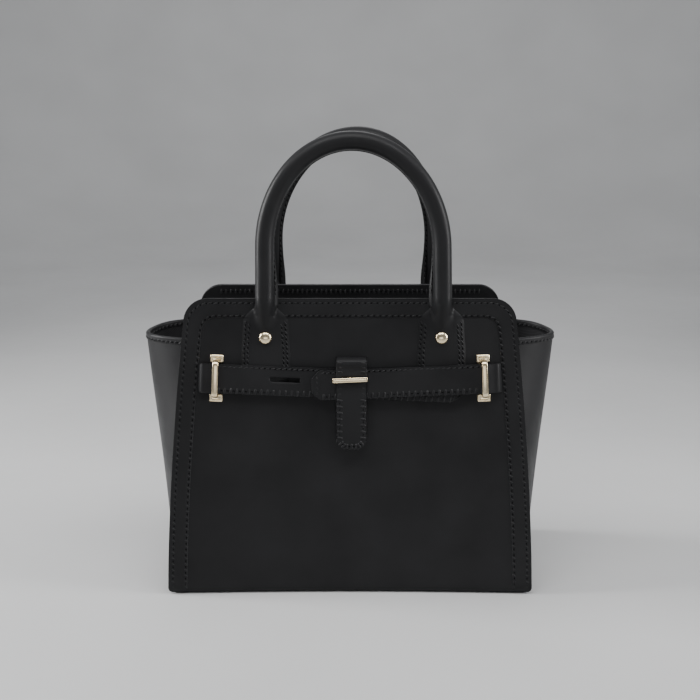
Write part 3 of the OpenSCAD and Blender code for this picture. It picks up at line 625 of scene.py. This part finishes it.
def base_leather():
    """The base between the walls' turned-in edges, which give way a little in the middle."""
    xs = np.unique(np.concatenate([np.linspace(-1, 1, 41), [-0.99, 0.99]])) * BASE_HALF
    ys = np.array([-1, -0.985, -0.94, -0.5, 0, 0.5, 0.94, 0.985, 1])
    half_y = BASE_D / 2 - TURN_IN - bow(xs, FLOOR_V)
    grid = stacked(xs[:, None], ys[None, :] * half_y[:, None], 0.0)
    bottom = thick("base_leather", grid, WALL_T, CALF)
    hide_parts("base_panel")
    down = np.array([0, 0, -1.0])
    rows = [(*spread(stacked(xs, sign * (half_y - 3), 0.12), 5.2, 3), down) for sign in (-1, 1)]
    beads("base_stitches", rows, (3.6, 1.1, 0.12), THREAD)


def base_cloth():
    lift = WALL_T + 2.0
    half_x = side_line(lift) - GUSSET_INSET - GUSSET_T - LINING_T - 0.5
    half_y = BASE_D / 2 - 5.1
    grid = stacked(shares(30)[None, :] * half_x, shares(14)[:, None] * half_y, lift + LINING_T)
    cloth = thick("base_cloth", grid, LINING_T, CLOTH, slot="lining_cloth")
    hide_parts("base_lining")


# Gussets

def wall_depth(z):
    return BASE_D - (BASE_D - TOP_D) * z / BODY_H


def crease_x(z):
    return BASE_HALF + (WING_HALF - BASE_HALF) * (z / RIM_H) ** CREASE_RISE_POWER


def gusset_plan(z, off):
    """The right gusset at height z, set in by off: front flange, crease and back flange."""
    corner = side_line(z / COS) - GUSSET_INSET
    flange = wall_depth(z) / 2 - (WALL_T + off) / COS
    deep = wall_depth(z) / 2 - WALL_T / COS
    high = z / RIM_H
    tip = crease_x(z) - 1.2 * high**2
    angle = math.atan2(tip - corner, deep)
    near = corner - off * math.tan((math.pi / 2 - angle) / 2)
    far = tip - off / math.cos(angle)
    s = np.concatenate([[0, 0.012, 0.035, 0.065], np.linspace(0.1, 1, 18)])
    give = 0.5 * np.sin(math.pi * s) * math.sin(z / 34 + 0.8) * math.sin(math.pi * high)
    halves = []
    for way, blunt, rise in ((-1, 1.5 + 1.4 * high**1.5, 0.0), (1, 1.5 + 0.8 * high**1.5, RIM_RISE)):
        x = near + (far - near) * (1 - (1 - s) ** blunt) + give
        x = np.concatenate([[corner - FLANGE_W, corner - FLANGE_W / 2], x])
        y = np.concatenate([[flange, flange], flange * (1 - s)])
        lift = rise * high**6 * (1 - smooth(0.3, 0.85, np.concatenate([[0, 0], s])))
        halves.append(np.stack([x, way * y, z + lift], -1))
    return np.concatenate([halves[0], halves[1][-2::-1]])


def gusset(sign, name):
    mirror = np.array([sign, 1, 1]) * MM
    low = WALL_T + 0.02
    heights = [low, low + 0.6, low + 2, *np.linspace(low + 4, RIM_H - 1, 52), RIM_H]
    outer = np.stack([gusset_plan(z, 0) for z in heights]) * mirror
    shell = thick(name + "_gusset_leather", outer, GUSSET_T, CALF, flip=sign < 0)
    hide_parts(name + "_gusset")
    inner = np.stack([gusset_plan(z, GUSSET_T) for z in heights[1:]]) * mirror
    cloth = thick(name + "_gusset_cloth", inner, LINING_T, CLOTH, slot="lining_cloth", flip=sign < 0)
    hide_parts(name + "_lining")
    rim(sign, name, mirror)


def rim(sign, name, mirror):
    """The strip folded over a gusset's rim, with its stitches outside and inside."""
    inside = GUSSET_T + LINING_T
    skin = 0.42
    middle, half = inside / 2, inside / 2 + skin
    low = RIM_H - BINDING_H
    turn = np.linspace(math.pi, 0, 9)
    profile = [(-0.1, low), (-0.26, low + 0.2), (-0.36, low + 1.4), (-skin, RIM_H - 1.2)]
    profile += [(middle + half * math.cos(t), RIM_H - 0.9 + half * math.sin(t)) for t in turn]
    profile += [(inside - off, z) for off, z in profile[3::-1]] + [(middle, low + 0.3)]
    rings = np.stack([gusset_plan(z, off)[3:-3] * mirror for off, z in profile], 1)[::sign]
    strip = tube(name + "_rim_strip", rings, RIM_CALF, slot="leather_edge")
    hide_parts(name + "_rim_binding")
    rows = []
    for off, z, way in ((-skin, RIM_H - 3.6, 1), (inside + skin, RIM_H - 3.2, -1)):
        places, ways = spread(gusset_plan(z, off)[3:-3] * mirror, 4.6, 1)
        rows.append((places, ways, way * sign * np.cross(ways, [0, 0, 1])))
    stitching(name + "_rim", rows, (3.5, 1.1, 0.46), slot="leather_edge", slant=0.8)


# Handles: one rolled skin from the tip of one tab, over the arch, to the tip of the other

RING_POINTS = 56
NOSE_ANGLE = math.radians(30)
# A tab's outline: how far down its length, and how much of its full half width is there
TAB_SHARES = [
    (0.0, 0.372), (0.06, 0.38), (0.11, 0.4), (0.16, 0.58), (0.21, 0.81), (0.265, 0.915),
    (0.45, 0.95), (0.6, 1), (0.9, 1), (1, 0.66)]


def tab_half(d):
    """Half width of a tab at distance d below its hinge, with its outline's corners rounded off."""
    x, y = np.array(TAB_SHARES).T * [[TAB_LEN], [TAB_W / 2]]
    near = [np.interp(np.clip(d + k, 0, TAB_LEN), x, y) for k in (-1.6, -0.8, 0, 0.8, 1.6)]
    return np.maximum(np.mean(near, 0), HANDLE_R)


def tab_skive(inset):
    """How much of a tab's thickness is left at a distance in from its edge."""
    return 1 - 0.86 * (1 - np.clip(inset / 8, 0, 1)) ** 1.3


def tab_section(d, turn):
    """A tab's closed section at distance d below the hinge: [across, w] at each angle.

    It starts as the handle's round roll, which comes down to the wall and flattens into the tab."""
    half = HANDLE_R + (tab_half(d) - HANDLE_R) * smooth(0, 5, d)
    flat_share = smooth(0, 12, d)
    share = np.cos(turn) * (1 - flat_share) + np.sin(math.pi / 2 * np.cos(turn)) * flat_share
    x = half * share
    base = 0.05 + BORDER_T * (1 - smooth(17.4, 18.4, d))
    bend = 9.0
    axis = HINGE_W - math.tan(NOSE_ANGLE) * (d * d / (2 * bend) if d < bend else d - bend / 2)
    rise = HANDLE_R * (1 + (1 / math.cos(NOSE_ANGLE) - 1) * smooth(0, bend, d))
    over = np.maximum(np.abs(x) - HANDLE_R, 0)
    bulge = rise * np.sqrt(np.maximum(1 - (x / HANDLE_R) ** 2, 0))
    top_tube, low_tube = axis + bulge - 3 * over, axis - bulge + 3 * over
    level = BORDER_T + TAB_T - 6 * (1 - smooth(1, 9, d))
    skive = 1 - flat_share * (1 - tab_skive(half - np.abs(x)))
    flat = base + (level - base) * skive * (1 - np.abs(share) ** 22)
    top = (top_tube + flat + np.sqrt((top_tube - flat) ** 2 + 1.6 * smooth(0, 6, d))) / 2
    low_share = smooth(4, 12, d)
    low = np.maximum(low_tube, base) * (1 - low_share) + base * low_share
    top = np.maximum(top, base)
    return x, np.where(np.sin(turn) >= 0, top, np.minimum(low, top))


def handle_line(rise, sway, count=72):
    """The handle's centre line from the left hinge to the right one, and its outward direction."""
    a = TAB_PITCH / 2
    leg = np.linspace(0, LEG_H, 12)[:-1]
    t = np.linspace(math.pi, 0, count)
    x = np.concatenate([np.full(len(leg), -a), a * np.cos(t), np.full(len(leg), a)])
    y = np.concatenate([leg, LEG_H + (rise - LEG_H) * np.sin(t), leg[::-1]])
    x = x * (1 - 0.02 * y / rise) + sway * (y / rise) ** 2
    d = np.stack([np.gradient(x), np.gradient(y)], -1)
    d[0], d[-1] = (0, 1), (0, -1)
    return np.stack([x, y], -1), unit(np.stack([-d[:, 1], d[:, 0]], -1))


def off_line(side, place, way, out, w):
    """Points beside places on a handle's line: out along its outward direction, and w off its plane."""
    u = side * HANDLE_SHIFT + place[0] + way[0] * out
    return rigid(side, u, HINGE_V + place[1] + way[1] * out, HINGE_W + w)


def handle_rings(side, rise, sway):
    turn = full_turn(RING_POINTS)
    depths = np.unique(np.concatenate([
        np.linspace(0, 26, 30)[1:], np.linspace(26, 66, 16), np.linspace(67, TAB_LEN - 0.3, 6), [TAB_LEN]]))

    def tab(sign):
        rings = []
        for d in depths:
            x, w = tab_section(d, turn)
            rings.append(on_wall(side, side * HANDLE_SHIFT + sign * (TAB_PITCH / 2 + x), HINGE_V - d, w))
        return rings

    out, w = HANDLE_R * np.cos(turn), HANDLE_R * np.sin(turn)
    middle = [off_line(side, place, way, out, w) for place, way in zip(*handle_line(rise, sway))]
    return np.array(tab(-1)[::-1] + middle + tab(1))


def seam_line(rise, sway):
    """A handle's line with both ends carried down into the tabs, and its outward direction."""
    line, across = handle_line(rise, sway)
    count = 7
    drop = np.linspace(-13, -2, count)
    left, right = (np.stack([np.full(count, x), drop], -1) for x in (line[0, 0], line[-1, 0]))
    out = np.tile([1.0, 0], (count, 1))
    return np.concatenate([left, line, right[::-1]]), np.concatenate([-out, across, out])


def seam(side, name, rise, sway):
    """The seam that stands out along the back of the roll, with its two rows of stitches."""
    line, across = seam_line(rise, sway)
    angle = math.radians(215)
    radial = np.array([math.cos(angle), math.sin(angle)])
    sideways = np.array([-math.sin(angle), math.cos(angle)])
    half = 1.15
    low = HANDLE_R - 1.2
    flare = 3.4 * np.exp(-(np.maximum(line[:, 1], 0) / 22) ** 2)
    high = low + (2.9 + flare) * smooth(-14, -7, line[:, 1])
    profile = [(0, 1), (0.5, 1), (0.85, 0.9), (1, 0.35), (1, -0.35), (0.85, -0.9), (0.5, -1), (0, -1)]
    rings = []
    for place, way, top in zip(line, across, high):
        slim = half * (0.35 + 0.65 * (top - low) / (high.max() - low))
        section = [radial * (low + (top - low) * f) + sideways * g * slim for f, g in profile]
        rings.append(off_line(side, place, way, *np.array(section).T))
    strip = tube(name + "_seam", np.array(rings)[:, ::-1], HANDLE_CALF, body=None, slot="handle_leather")
    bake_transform(strip)
    rows = []
    for face in (1, -1):
        r = low + (high - low) * 0.52
        out, w = (radial[k] * r + sideways[k] * face * (half + 0.05) for k in (0, 1))
        path = off_line(side, line.T, across.T, out, w)
        aside = off_line(side, line.T, across.T, sideways[0] * face, sideways[1] * face)
        ups = unit(aside - off_line(side, line.T, across.T, 0, 0))
        places, ways = spread(path, 4.6, 14)
        nearest = [int(np.argmin(np.linalg.norm(path - p, axis=1))) for p in places]
        rows.append((places, ways, ups[nearest]))
    for piece in stitching(name + "_seam", rows, (3.6, 1.0, 0.45), None, "handle_leather"):
        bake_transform(piece)


def cord_core(side, name, body, rise, sway):
    """The cord inside the roll, in the form of three strands twisted together."""
    line, across = handle_line(rise, sway, 60)
    turn = full_turn(24)
    run = np.concatenate([[0], np.cumsum(np.linalg.norm(np.diff(line, axis=0), axis=1))])
    rings = []
    for place, way, s in zip(line[1:-1], across[1:-1], run[1:-1]):
        r = 5.6 + 0.6 * np.cos(3 * turn + s / 5)
        rings.append(off_line(side, place, way, r * np.cos(turn), r * np.sin(turn)))
    core = tube(name + "_cord", np.array(rings), FILLER, body=body, slot="filler_cord")
    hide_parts(name + "_core")


def tab_stitches(side, name):
    rows = []
    for sign in (-1, 1):
        centre = side * HANDLE_SHIFT + sign * TAB_PITCH / 2
        for edge in (-1, 1):
            for inset, start in ((2.6, 19.5), (5.6, 21.5)):
                d = np.linspace(58, start, 40)
                u = centre + edge * (tab_half(d) - inset)
                w = (BORDER_T + TAB_T) * tab_skive(inset) + 0.05
                rows.append(wall_row(side, u, HINGE_V - d, w, 4.0))
    stitching(name + "_tab", rows, (3.4, 1.1, 0.5), slant=0.6, shade_len=1.3)


def handle(side, name, rise, sway):
    body = name + "_handle"
    rings = handle_rings(side, rise, sway)
    skin = tube(name + "_handle_roll", rings, HANDLE_CALF, body=None, slot="handle_leather")
    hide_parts(name + "_handle_cover", name + "_left_tab", name + "_right_tab")
    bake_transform(skin)
    seam(side, name + "_handle", rise, sway)
    cord_core(side, name + "_handle", body, rise, sway)
    tab_stitches(side, name)


# Closing straps

TILT = math.radians(STRAP_TILT)
STRAP_START = -SLIT_U / math.cos(TILT)
STRAP_HALF = STRAP_W / 2
STRAP_ROWS = (-12, -11.9, -11.5, -10.6, -8.5, -6, -3.5, -1, 2, 4.6, 6.8, 9.6, 10.8, 11.5, 11.9, 12)


def on_strap(mirror, a, b, w):
    """Points a along and b up from a strap's middle line. Mirror is -1 for the strap from the right."""
    u = mirror * (a * math.cos(TILT) + b * math.sin(TILT))
    return on_wall(1, u, STRAP_V - a * math.sin(TILT) + b * math.cos(TILT), w)


def strap_line(level):
    """A strap's outer side as [along, w]: out of the slit on a slant, round a bend and up to its level."""
    steep = math.radians(54)
    radius = 4.2
    run = 14.0
    knee = radius + 0.14 * (level - radius)
    foot = (knee - radius * (1 - math.cos(steep))) / math.tan(steep)
    slant = [(STRAP_START + foot * k, foot * k * math.tan(steep)) for k in (0.05, 0.3, 0.6, 0.9)]
    bend = [
        (STRAP_START + foot + radius * (math.sin(steep) - math.sin(t)), knee - radius * (1 - math.cos(t)))
        for t in np.linspace(steep, 0, 10)]
    start = foot + radius * math.sin(steep)
    a = np.linspace(start, run, 11)[1:]
    share = (a - start) / (run - start)
    climb = knee + (level - knee) * (0.4 * share + 0.6 * smooth(0, 1, share))
    return [(STRAP_START, -1.5), (STRAP_START, -0.3)] + slant + bend + list(zip(STRAP_START + a, climb))


def strap_outline(reach, level, slots, tip):
    """Along a strap from its slit to its tip: the places, its outer side's height and its half width."""
    if tip == "round":
        length = reach - STRAP_HALF
        turn = np.linspace(0, 1.4, 12)[1:]
        last = [(length + STRAP_HALF * math.sin(t), STRAP_HALF * math.cos(t)) for t in turn]
    else:
        length = reach - STRAP_CUT
        last = [(length + s * STRAP_CUT, STRAP_HALF - s * STRAP_CUT) for s in np.linspace(0, 1, 7)[1:]]
    start = strap_line(level)
    marks = [a + e * SLOT_LEN / 2 for a, _ in slots for e in (-1, 1)]
    run = [a for a in np.arange(start[-1][0] + 3, length, 3.0) if min(abs(a - m) for m in marks) > 1.2]
    a = np.array([p[0] for p in start] + sorted(run + marks + [length]) + [p[0] for p in last])
    w = np.array([p[1] for p in start] + [level] * (len(a) - len(start)))
    half = np.array([STRAP_HALF] * (len(a) - len(last)) + [p[1] for p in last])
    return a, w, half


def slot_cells(a, b, slots):
    """The cells of a strap's grid that its slots leave out."""
    along, up = (a[1:] + a[:-1]) / 2, (b[1:] + b[:-1]) / 2
    return {
        (r, c) for x, y in slots for r in range(len(up)) for c in range(len(along))
        if abs(up[r] - y) < SLOT_SHOWN / 2 and abs(along[c] - x) < SLOT_LEN / 2}


def strap(name, mirror, reach, level, slots, tip):
    a, w, half = strap_outline(reach, level, slots, tip)
    slot_rows = sorted({round(y + e * SLOT_SHOWN / 2, 6) for _, y in slots for e in (-1, 1)})
    b = np.array(sorted(slot_rows + [y for y in STRAP_ROWS if min(abs(y - r) for r in slot_rows) > 0.5]))
    along, up = np.broadcast_arrays(a[None, :], b[:, None] * half[None, :] / STRAP_HALF)
    wave = 0.12 * np.sin(along / 17 + mirror) * np.sin(up / 9 + 0.5)
    crown = -0.35 * np.abs(up / STRAP_HALF) ** 4 + wave
    grid = on_strap(mirror, along, up, w[None, :] + crown)
    piece = thick(name + "_belt", grid, STRAP_T, CALF, skip=slot_cells(a, b, slots), flip=mirror < 0)
    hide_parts(name)
    strap_stitches(name, mirror, reach, level)


def strap_stitches(name, mirror, reach, level):
    """Long stitches low on a strap, and a finer row high on it that turns down at its tip."""
    def row(a, b, pitch):
        return (*spread(on_strap(mirror, a, b, level - 0.18), pitch), wall_normal(1))

    a = np.linspace(STRAP_START + 15, reach - 7, 60)
    stitching(name + "_low", [row(a, -9.3, 4.9)], (5.2, 1.9, 0.68), slant=1.42, shade_len=0.9)
    if mirror < 0:
        tip = row(reach - 4.6, np.linspace(-8.5, 8.5, 20), 4.2)
    else:
        t = np.linspace(-1.2, 1.2, 24)
        tip = row(reach - STRAP_HALF + 9.6 * np.cos(t), 9.6 * np.sin(t), 4.2)
    stitching(name + "_high", [row(a, 9.8, 4.4), tip], (3.5, 1.1, 0.48), slant=0.4, shade_len=1.4)


def straps():
    main = (-(TOGGLE_V - STRAP_V) * math.sin(TILT), TOGGLE_V - STRAP_V)
    strap("left_strap", 1, LEFT_REACH, LOW_W + STRAP_T, [main, SPARE_SLOT], "round")
    strap("right_strap", -1, RIGHT_REACH, HIGH_W + STRAP_T, [main], "cut")


# Tongue

TONGUE_COLUMNS = (3, 6, 8.5, 10, 11.2, 12.0, 12.3, 12.4)
# The tongue's fold as [v from its slit, height over the flat tongue], kept low where the bar turns over it
TONGUE_FOLD = (
    (-13, -0.1), (-11, -0.15), (-9.4, -0.45), (-7.8, -0.45), (-6.4, -0.1), (-5.2, 0.15), (-4.2, 0.2),
    (-3.2, 0.05), (-2.3, -0.45), (-1.5, -1.2), (-0.8, -2.3), (-0.3, -3.5), (0, -5.0))


def tip_lift(v):
    """How far the tongue's free end stands off the straps."""
    return 0.25 * (1 - smooth(TONGUE_TIP_V, TONGUE_TIP_V + 22, v))


def tongue_side():
    """The tongue's outer side from its tip to behind its slit, as [v, w]."""
    tip = TONGUE_TIP_V
    flat = np.unique(np.concatenate([
        [tip, tip + 0.5], np.linspace(tip + 1.6, tip + TONGUE_CUT, 4),
        np.linspace(tip + 9, TONGUE_SLIT_V - 20.5, 12), [TOGGLE_V - SLOT_H / 2, TOGGLE_V + SLOT_H / 2]]))
    fold = [(TONGUE_SLIT_V + v, TONGUE_TOP + w) for v, w in TONGUE_FOLD]
    behind = [(TONGUE_SLIT_V, w) for w in (1.5, -0.3, -1.5)]
    return np.concatenate([np.stack([flat, TONGUE_TOP + tip_lift(flat)], -1), fold, behind])


def pressed(v):
    """How much deeper the tongue's thread lies where the turning bar's ends pass over it."""
    return 0.44 * (1 - smooth(12.5, 15.5, np.abs(v - TOGGLE_V)))


def tongue_grid(side, x):
    """The tongue's outer side, with its corners cut at the tip and a dent above the bar."""
    cut = np.clip(TONGUE_CUT - (side[:, 0] - TONGUE_TIP_V), 0, TONGUE_CUT)
    half = np.where(side[:, 1] < 0, TONGUE_W / 2, TONGUE_W / 2 - cut)
    across = x[None, :] * half[:, None] / x[-1]
    v, w = side[:, :1], side[:, 1:]
    dent = 0.8 * np.exp(-((across / 8) ** 2)) * smooth(TONGUE_SLIT_V - 14.5, TONGUE_SLIT_V - 11, v)
    dent = dent * (1 - smooth(TONGUE_SLIT_V - 10, TONGUE_SLIT_V - 5, v))
    return rigid(1, TONGUE_U + across, v, w - dent)


def tongue_rows():
    """The tongue's stitches: down each side, over the fold, along the cut corners and along the tip."""
    def row(u, v, w, pitch):
        return (*spread(rigid(1, TONGUE_U + u, v, w), pitch), wall_normal(1))

    top = TONGUE_TOP - 0.05
    vs = np.linspace(TONGUE_TIP_V + 7.5, TOGGLE_V - 4, 30)
    fold = tongue_side()
    fold = fold[(fold[:, 0] > TOGGLE_V + 4) & (fold[:, 1] > TONGUE_W0 + 1.0)]
    fold[:, 1] -= pressed(fold[:, 0])
    s = np.linspace(0, 1, 8)
    rows = []
    for e in (-1, 1):
        edge = e * (TONGUE_W / 2 - 3.0)
        rows.append(row(edge, vs, top + tip_lift(vs) - pressed(vs), 5.2))
        rows.append(row(edge, *fold.T, 4.2))
        rows.append(row(e * (9.4 - 4.2 * s), TONGUE_TIP_V + TONGUE_CUT - 3.8 * s, top + 0.25, 2.8))
    return rows + [row(np.linspace(-5.4, 5.4, 12), TONGUE_TIP_V + 3.0, top + 0.25, 3.6)]


def tongue():
    side = tongue_side()
    x = np.array([*(-k for k in TONGUE_COLUMNS[::-1]), 0, *TONGUE_COLUMNS])
    skip = set()
    for r, (low, high) in enumerate(zip(side[:-1], side[1:])):
        if abs((low[0] + high[0]) / 2 - TOGGLE_V) < SLOT_H / 2 and low[1] > TONGUE_W0:
            skip |= {(r, c) for c in range(len(x) - 1) if abs(x[c] + x[c + 1]) < TONGUE_SLOT}
    piece = thick("tongue_leather", tongue_grid(side, x), TONGUE_T, CALF, body=None, skip=skip)
    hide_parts("tongue_root", "tongue_flap")
    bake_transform(piece)
    for threads in stitching("tongue", tongue_rows(), (4.8, 1.9, 0.68), None, slant=1.45, shade_len=0.9):
        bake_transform(threads)


# Metal

def plated(name, rings, body="root"):
    return tube(name, np.array(rings), GOLD, body=body, slot="gold_metal")


def rounded(half_x, half_y, power, count=32):
    """A rounded rectangle as count points, as a superellipse."""
    turn = full_turn(count)
    x, y = (np.sign(k) * np.abs(k) ** (2 / power) for k in (np.cos(turn), np.sin(turn)))
    return half_x * x, half_y * y


def keeper_place(sign, x, y, w):
    t = sign * TILT
    u = sign * KEEPER_X + x * math.cos(t) - y * math.sin(t)
    v = STRAP_V + KEEPER_X * math.tan(TILT) + x * math.sin(t) + y * math.cos(t)
    return rigid(1, u, v, w)


def keeper_bar(sign, name):
    """A keeper's bar: up from one foot, over the strap and down to the other foot."""
    centre, level, bend = STRAP_HALF + 1.9, KEEPER_CLEAR + 1.25, 2.7
    turn = np.linspace(math.pi, math.pi / 2, 9)
    curve = [(-centre + bend + bend * math.cos(t), level - bend + bend * math.sin(t)) for t in turn]
    across = [(y, level + 0.15 * (1 - (y / 11) ** 2)) for y in np.linspace(-10, 10, 9)]
    half = [(-centre, 0.6), (-centre, 3.0), (-centre, 5.0)] + curve
    path = np.array(half + across + [(-y, w) for y, w in reversed(half)])
    x, n = rounded(KEEPER_BAR_W / 2, 1.25, 3.0)
    ways = unit(np.gradient(path, axis=0))
    rings = [keeper_place(sign, x, y - n * dw, w + n * dy) for (y, w), (dy, dw) in zip(path, ways)]
    bar = plated(name + "_bar", [ring[::-1] for ring in rings])
    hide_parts(name)


# A keeper foot's side as [inset, height]: a bevelled plate with a raised rim round a sunk middle
FOOT_SIDE = (
    (0.2, 0.02), (0, 0.2), (0, 0.85), (0.12, 1.08), (0.75, 1.46), (0.95, 1.5), (1.5, 1.5), (1.7, 1.45),
    (2.0, 1.26), (2.3, 1.22))


def keeper_feet(sign, name):
    for e, end in ((-1, "low"), (1, "high")):
        middle = e * (STRAP_HALF + 0.4 + FOOT_LEN / 2)
        rings = []
        for inset, w in FOOT_SIDE:
            x, y = rounded(FOOT_W / 2 - inset, FOOT_LEN / 2 - inset, 8, 48)
            rings.append(keeper_place(sign, x, middle + y, w))
        plated(f"{name}_{end}_foot", rings)


# A rivet head's dome as [radius, height]
RIVET_SIDE = (
    (5.1, 2.3), (5.22, 2.9), (5.18, 3.25), (5.0, 3.85), (4.6, 4.5), (4.0, 5.0), (3.2, 5.45), (2.2, 5.75),
    (1.2, 5.9), (0.4, 5.94))


def rivets(side, name):
    turn = full_turn(40)
    for sign, end in ((-1, "left"), (1, "right")):
        u = side * HANDLE_SHIFT + sign * TAB_PITCH / 2
        rings = [rigid(side, u + r * np.cos(turn), RIVET_V + r * np.sin(turn), w) for r, w in RIVET_SIDE]
        plated(f"{name}_{end}_rivet_head", rings)
    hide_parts(name + "_rivets")


# The left end of the toggle bar as [along, share of its full section]
BAR_END = ((-14.1, 0.5), (-14.02, 0.72), (-13.8, 0.86), (-13.4, 0.95), (-12.8, 0.99), (-11.5, 1), (-6, 1))


def toggle():
    t = math.radians(BAR_TILT)
    rings = []
    for x, k in BAR_END + tuple((-x, k) for x, k in reversed(BAR_END)):
        y, w = rounded(BAR_H / 2 * k, BAR_T / 2 * k, 3.4)
        u = x * math.cos(t) - y * math.sin(t)
        v = TOGGLE_V + x * math.sin(t) + y * math.cos(t)
        rings.append(rigid(1, u, v, BAR_W0 + BAR_T / 2 + w))
    bar = plated("toggle_bar_cast", rings, "toggle")
    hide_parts("toggle_bar")


def kept_parts():
    """The CAD's own inner and small metal parts, with their finish. The toggle bush's gold is darkened with
    painted shade, as it lies deep in a slot.
    """
    finish = {"toggle_bush": GOLD_PAINTED_SHADE, "toggle_stem": GOLD, "base_board": BOARD, "rivet_washers": STEEL,
              "keeper_backing_plates": STEEL, "toggle_backing_ring": STEEL}
    for name, material in finish.items():
        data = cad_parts[name].data
        data.materials.clear()
        data.materials.append(material)


for side, name in SIDES:
    wall_leather(side, name)
    facing_band(side, name)
    wall_inside(side, name)
for side, name in SIDES:
    border(side, name)
base_leather()
base_cloth()
gusset(-1, "left")
gusset(1, "right")
handle(1, "front", FRONT_RISE, -1.5)
handle(-1, "back", BACK_RISE, -3.0)
straps()
tongue()
for sign, name in ((-1, "left_keeper"), (1, "right_keeper")):
    keeper_bar(sign, name)
    keeper_feet(sign, name)
for side, name in SIDES:
    rivets(side, name)
toggle()
kept_parts()


# Floor, light and camera

WORLD_LIGHT = 0.6


def floor_material():
    g = Graph("pale_floor", 0.6)
    g.colour(g.noise(3, 2), (0.50, 0.50, 0.50), (0.54, 0.54, 0.54))
    g.drive("Roughness", g.remap(g.noise(40, 2), 0.55, 0.65))
    return g.material


def backdrop():
    """A pale floor that curves up into a pale wall all round."""
    reach, bend, top = 2.4, 1.6, 3.4
    profile = [(0.6, 0), (1.5, 0), (reach, 0)]
    turn = np.linspace(0, math.pi / 2, 14)[1:]
    profile += [(reach + bend * math.sin(t), bend * (1 - math.cos(t))) for t in turn]
    profile += [(reach + bend, top)]
    count = 96
    points = [(r * math.cos(t), r * math.sin(t), z) for r, z in profile for t in full_turn(count)]
    rings = [f[::-1] for f in grid_faces(len(profile), count, closed=True)]
    floor = add_mesh("floor", points, [tuple(range(count))] + rings, floor_material(), body=None)
    del floor["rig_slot"]


def sky():
    """An even, faintly cool light from all round."""
    world = bpy.context.scene.world or bpy.data.worlds.new("world")
    bpy.context.scene.world = world
    world.use_nodes = True
    background = world.node_tree.nodes["Background"]
    background.inputs["Color"].default_value = (0.95, 0.97, 1.0, 1)
    background.inputs["Strength"].default_value = WORLD_LIGHT


def lamp(name, place, target, power, width, height, spread=180):
    """A flat lamp of a width and height in metres, a power in watts and a spread in degrees."""
    data = bpy.data.lights.new(name, "AREA")
    data.shape = "RECTANGLE"
    data.size = width
    data.size_y = height
    data.energy = power
    data.spread = math.radians(spread)
    light = bpy.data.objects.new(name, data)
    bpy.context.scene.collection.objects.link(light)
    light.location = place
    way = Vector(target) - Vector(place)
    light.rotation_euler = way.to_track_quat("-Z", "Y").to_euler()


def camera():
    """A view from the photograph's viewing angle."""
    data = bpy.data.cameras.new("camera")
    data.lens = 48.86
    data.sensor_width = 36
    data.clip_end = 20
    eye = bpy.data.objects.new("camera", data)
    eye.location = (0, -0.8004, 0.3531)
    eye.rotation_euler = (math.radians(78.6), 0, 0)
    bpy.context.scene.collection.objects.link(eye)
    bpy.context.scene.camera = eye


backdrop()
sky()
lamp("top_softbox", (0, -0.36, 0.95), (0, -0.05, 0.1), 5.3, 0.9, 0.3)
lamp("left_strip", (-1.7, 0.05, 0.8), (0, 0, 0.22), 18, 0.6, 1.3, 100)
lamp("right_card", (1.6, -0.3, 0.75), (0, 0, 0.25), 7.2, 0.6, 1.2, 90)
lamp("front_card", (0, -2.2, 0.28), (0, 0, 0.22), 0.85, 1.2, 0.36, 120)
lamp("back_softbox", (0, 1.5, 1.5), (0, 0, 0.2), 5, 1.0, 0.5)
lamp("backdrop_light", (0, 0.7, 2.3), (0, 3.6, 1.0), 15, 1.6, 0.5, 120)
camera()
